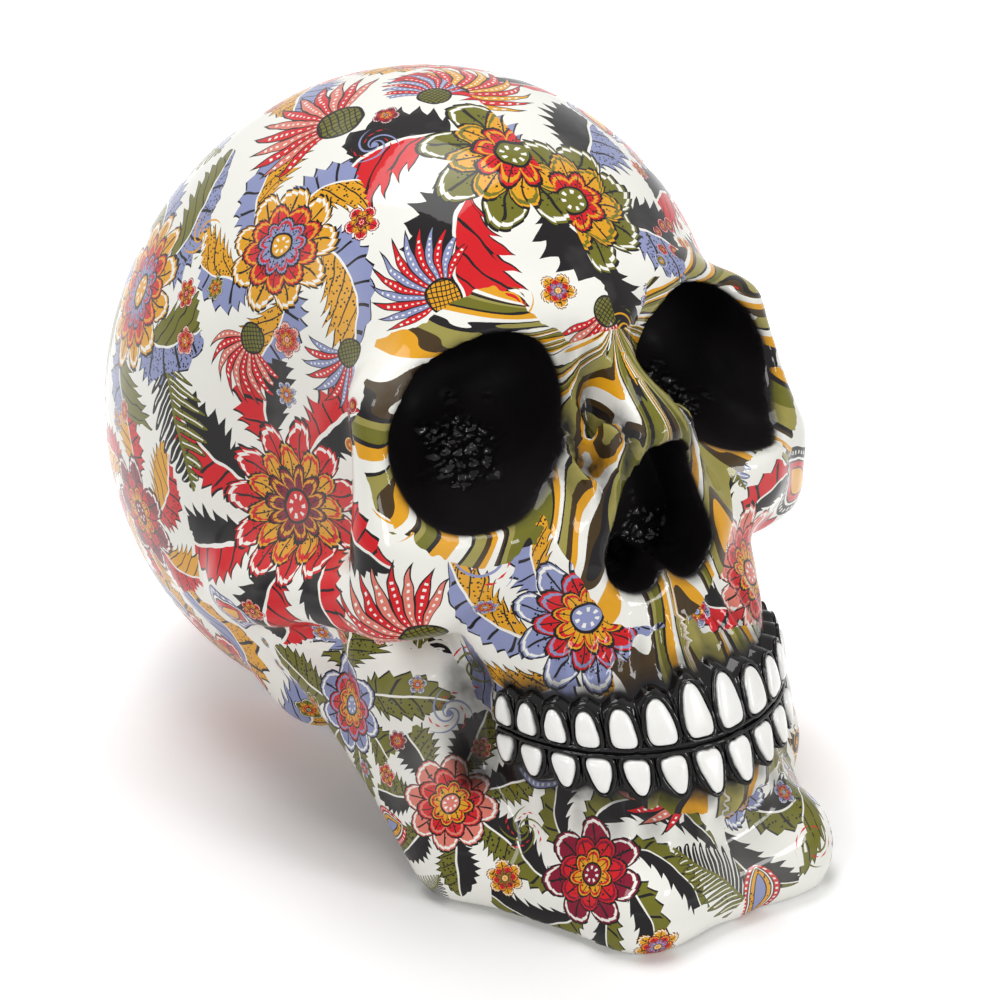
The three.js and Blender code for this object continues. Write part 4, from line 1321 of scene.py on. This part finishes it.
# Base plate
# A round plate of plain resin, glued into the pour hole under the braincase. Its face is sanded flat, and a
# shallow recess in it takes the felt.
RESIN_SHADE = (0.62, 0.59, 0.5)
RESIN_LIGHT = (0.72, 0.7, 0.62)
GLUE_ROOM = 0.3
SHARP_FROM = math.radians(35)


def lathe(name, at, profile, steps=72):
    """A closed round body about an upright axis, from a profile of radius and height in millimetres."""
    turn = np.linspace(0, 2 * math.pi, steps, endpoint=False)
    rings = [np.column_stack([at[0] + r * np.cos(turn), at[1] + r * np.sin(turn), np.full(steps, z)]) * MM
             for r, z in profile]
    return ring_mesh(name, rings)


plain_resin = plain_material("plain_resin")
tree = plain_resin.node_tree
mottle = texture(tree, "Noise", 90, "Fac", Detail=4)
scratch = texture(tree, "Wave", 1500, "Fac", Distortion=6, Detail=3)
colour = ink(tree, RESIN_SHADE).over(ink(tree, RESIN_LIGHT), mottle)
surface(tree, colour, 0.42 + scratch * 0.2, scratch, strength=0.2, depth=0.05, Specular_IOR_Level=0.4)

plate_low, plate_high = node_box("base_plate")
pad_low, pad_high = node_box("rear_felt_pad")
rim = (plate_high[0] - plate_low[0]) / 2
recess = (pad_high[0] - pad_low[0]) / 2 + GLUE_ROOM
under = plate_low[2]
over = plate_high[2]
roof = pad_high[2] + GLUE_ROOM
plate_profile = ((0, roof), (recess - 0.2, roof), (recess, roof - 0.2), (recess, under + 0.2),
                 (recess + 0.2, under), (rim - 0.5, under), (rim - 0.15, under + 0.12), (rim, under + 0.5),
                 (rim, over - 0.4), (rim - 0.4, over), (0, over))
plate_mesh = lathe("base_plate_disc", (plate_low + plate_high) / 2, plate_profile)
face_outwards(plate_mesh)
plate_mesh.set_sharp_from_angle(angle=SHARP_FROM)
plate_mesh.materials.append(plain_resin)
add_piece("base_plate_disc", plate_mesh, "base_plate")

# Felt pads
# Three discs of pressed black felt, one in the plate and two under the jaw, glued into recesses so that they
# hold the resin just off the table. Loose fibres stand out from their edges.
FELT_GREY = (0.035, 0.033, 0.036)
FELT_BLACK = (0.008, 0.008, 0.009)
HAIR_LEAN = 0.7
HAIR_RADIUS = 0.035
HAIR_LENGTH = 0.45
HAIRS_PER_SQUARE_METRE = 9e6

black_felt = plain_material("pressed_felt")
tree = black_felt.node_tree
fibre = texture(tree, "Noise", 2600, "Fac", Detail=3)
lint = texture(tree, "Noise", 240, "Fac", Detail=2)
colour = ink(tree, FELT_GREY).over(ink(tree, FELT_BLACK), fibre)
surface(tree, colour, 0.85 + lint * 0.15, fibre, strength=0.6, depth=0.25,
        Specular_IOR_Level=0.15, Sheen_Weight=0.25, Sheen_Roughness=0.5)

nap_tree, entry = geometry_tree("felt_nap", ("Pad", "Geometry"), ("Density", "Float"), ("Length", "Float"),
                                ("Seed", "Int"), ("Felt", "Material"))
facing = add_node(nap_tree, "GeometryNodeInputNormal")
split = add_node(nap_tree, "ShaderNodeSeparateXYZ")
level = add_node(nap_tree, "ShaderNodeMath", "ABSOLUTE")
upright = add_node(nap_tree, "FunctionNodeCompare", "LESS_THAN", B=0.6)
roots = add_node(nap_tree, "GeometryNodeDistributePointsOnFaces")
hair = add_node(nap_tree, "GeometryNodeMeshCone", Vertices=3, Radius_Bottom=HAIR_RADIUS * MM)
tilt = add_node(nap_tree, "FunctionNodeRandomValue")
tilt.data_type = "FLOAT_VECTOR"
tilt.inputs["Min"].default_value = (-HAIR_LEAN, -HAIR_LEAN, -HAIR_LEAN)
tilt.inputs["Max"].default_value = (HAIR_LEAN, HAIR_LEAN, HAIR_LEAN)
bend_hair = add_node(nap_tree, "FunctionNodeRotateRotation")
sprout = add_node(nap_tree, "GeometryNodeInstanceOnPoints")
both = add_node(nap_tree, "GeometryNodeJoinGeometry")
connect(nap_tree, (facing.outputs["Normal"], split.inputs[0]), (split.outputs["Z"], level.inputs[0]),
        (level.outputs[0], upright.inputs["A"]), (entry["Pad"], roots.inputs["Mesh"]),
        (upright.outputs[0], roots.inputs["Selection"]), (entry["Density"], roots.inputs["Density"]),
        (entry["Seed"], roots.inputs["Seed"]), (entry["Length"], hair.inputs["Depth"]),
        (entry["Seed"], tilt.inputs["Seed"]), (roots.outputs["Rotation"], bend_hair.inputs["Rotation"]),
        (tilt.outputs["Value"], bend_hair.inputs["Rotate By"]),
        (roots.outputs["Points"], sprout.inputs["Points"]), (hair.outputs["Mesh"], sprout.inputs["Instance"]),
        (bend_hair.outputs["Rotation"], sprout.inputs["Rotation"]), (entry["Pad"], both.inputs["Geometry"]),
        (sprout.outputs["Instances"], both.inputs["Geometry"]))
realize(nap_tree, both.outputs["Geometry"], entry["Felt"])

for number, node in enumerate(("rear_felt_pad", "front_felt_pad_left", "front_felt_pad_right")):
    low, high = node_box(node)
    radius = (high[0] - low[0]) / 2
    profile = ((0, 0), (radius - 0.5, 0), (radius - 0.15, 0.12), (radius, 0.45), (radius, high[2] - 0.3),
               (radius - 0.3, high[2]), (0, high[2]))
    disc = lathe(f"{node}_disc", (low + high) / 2, profile)
    face_outwards(disc)
    napped = grow(nap_tree, disc, Density=HAIRS_PER_SQUARE_METRE, Length=HAIR_LENGTH * MM, Seed=number,
                  Felt=black_felt)
    napped.name = f"{node}_disc"
    napped.materials.clear()
    napped.materials.append(black_felt)
    add_piece(f"{node}_disc", napped, node)
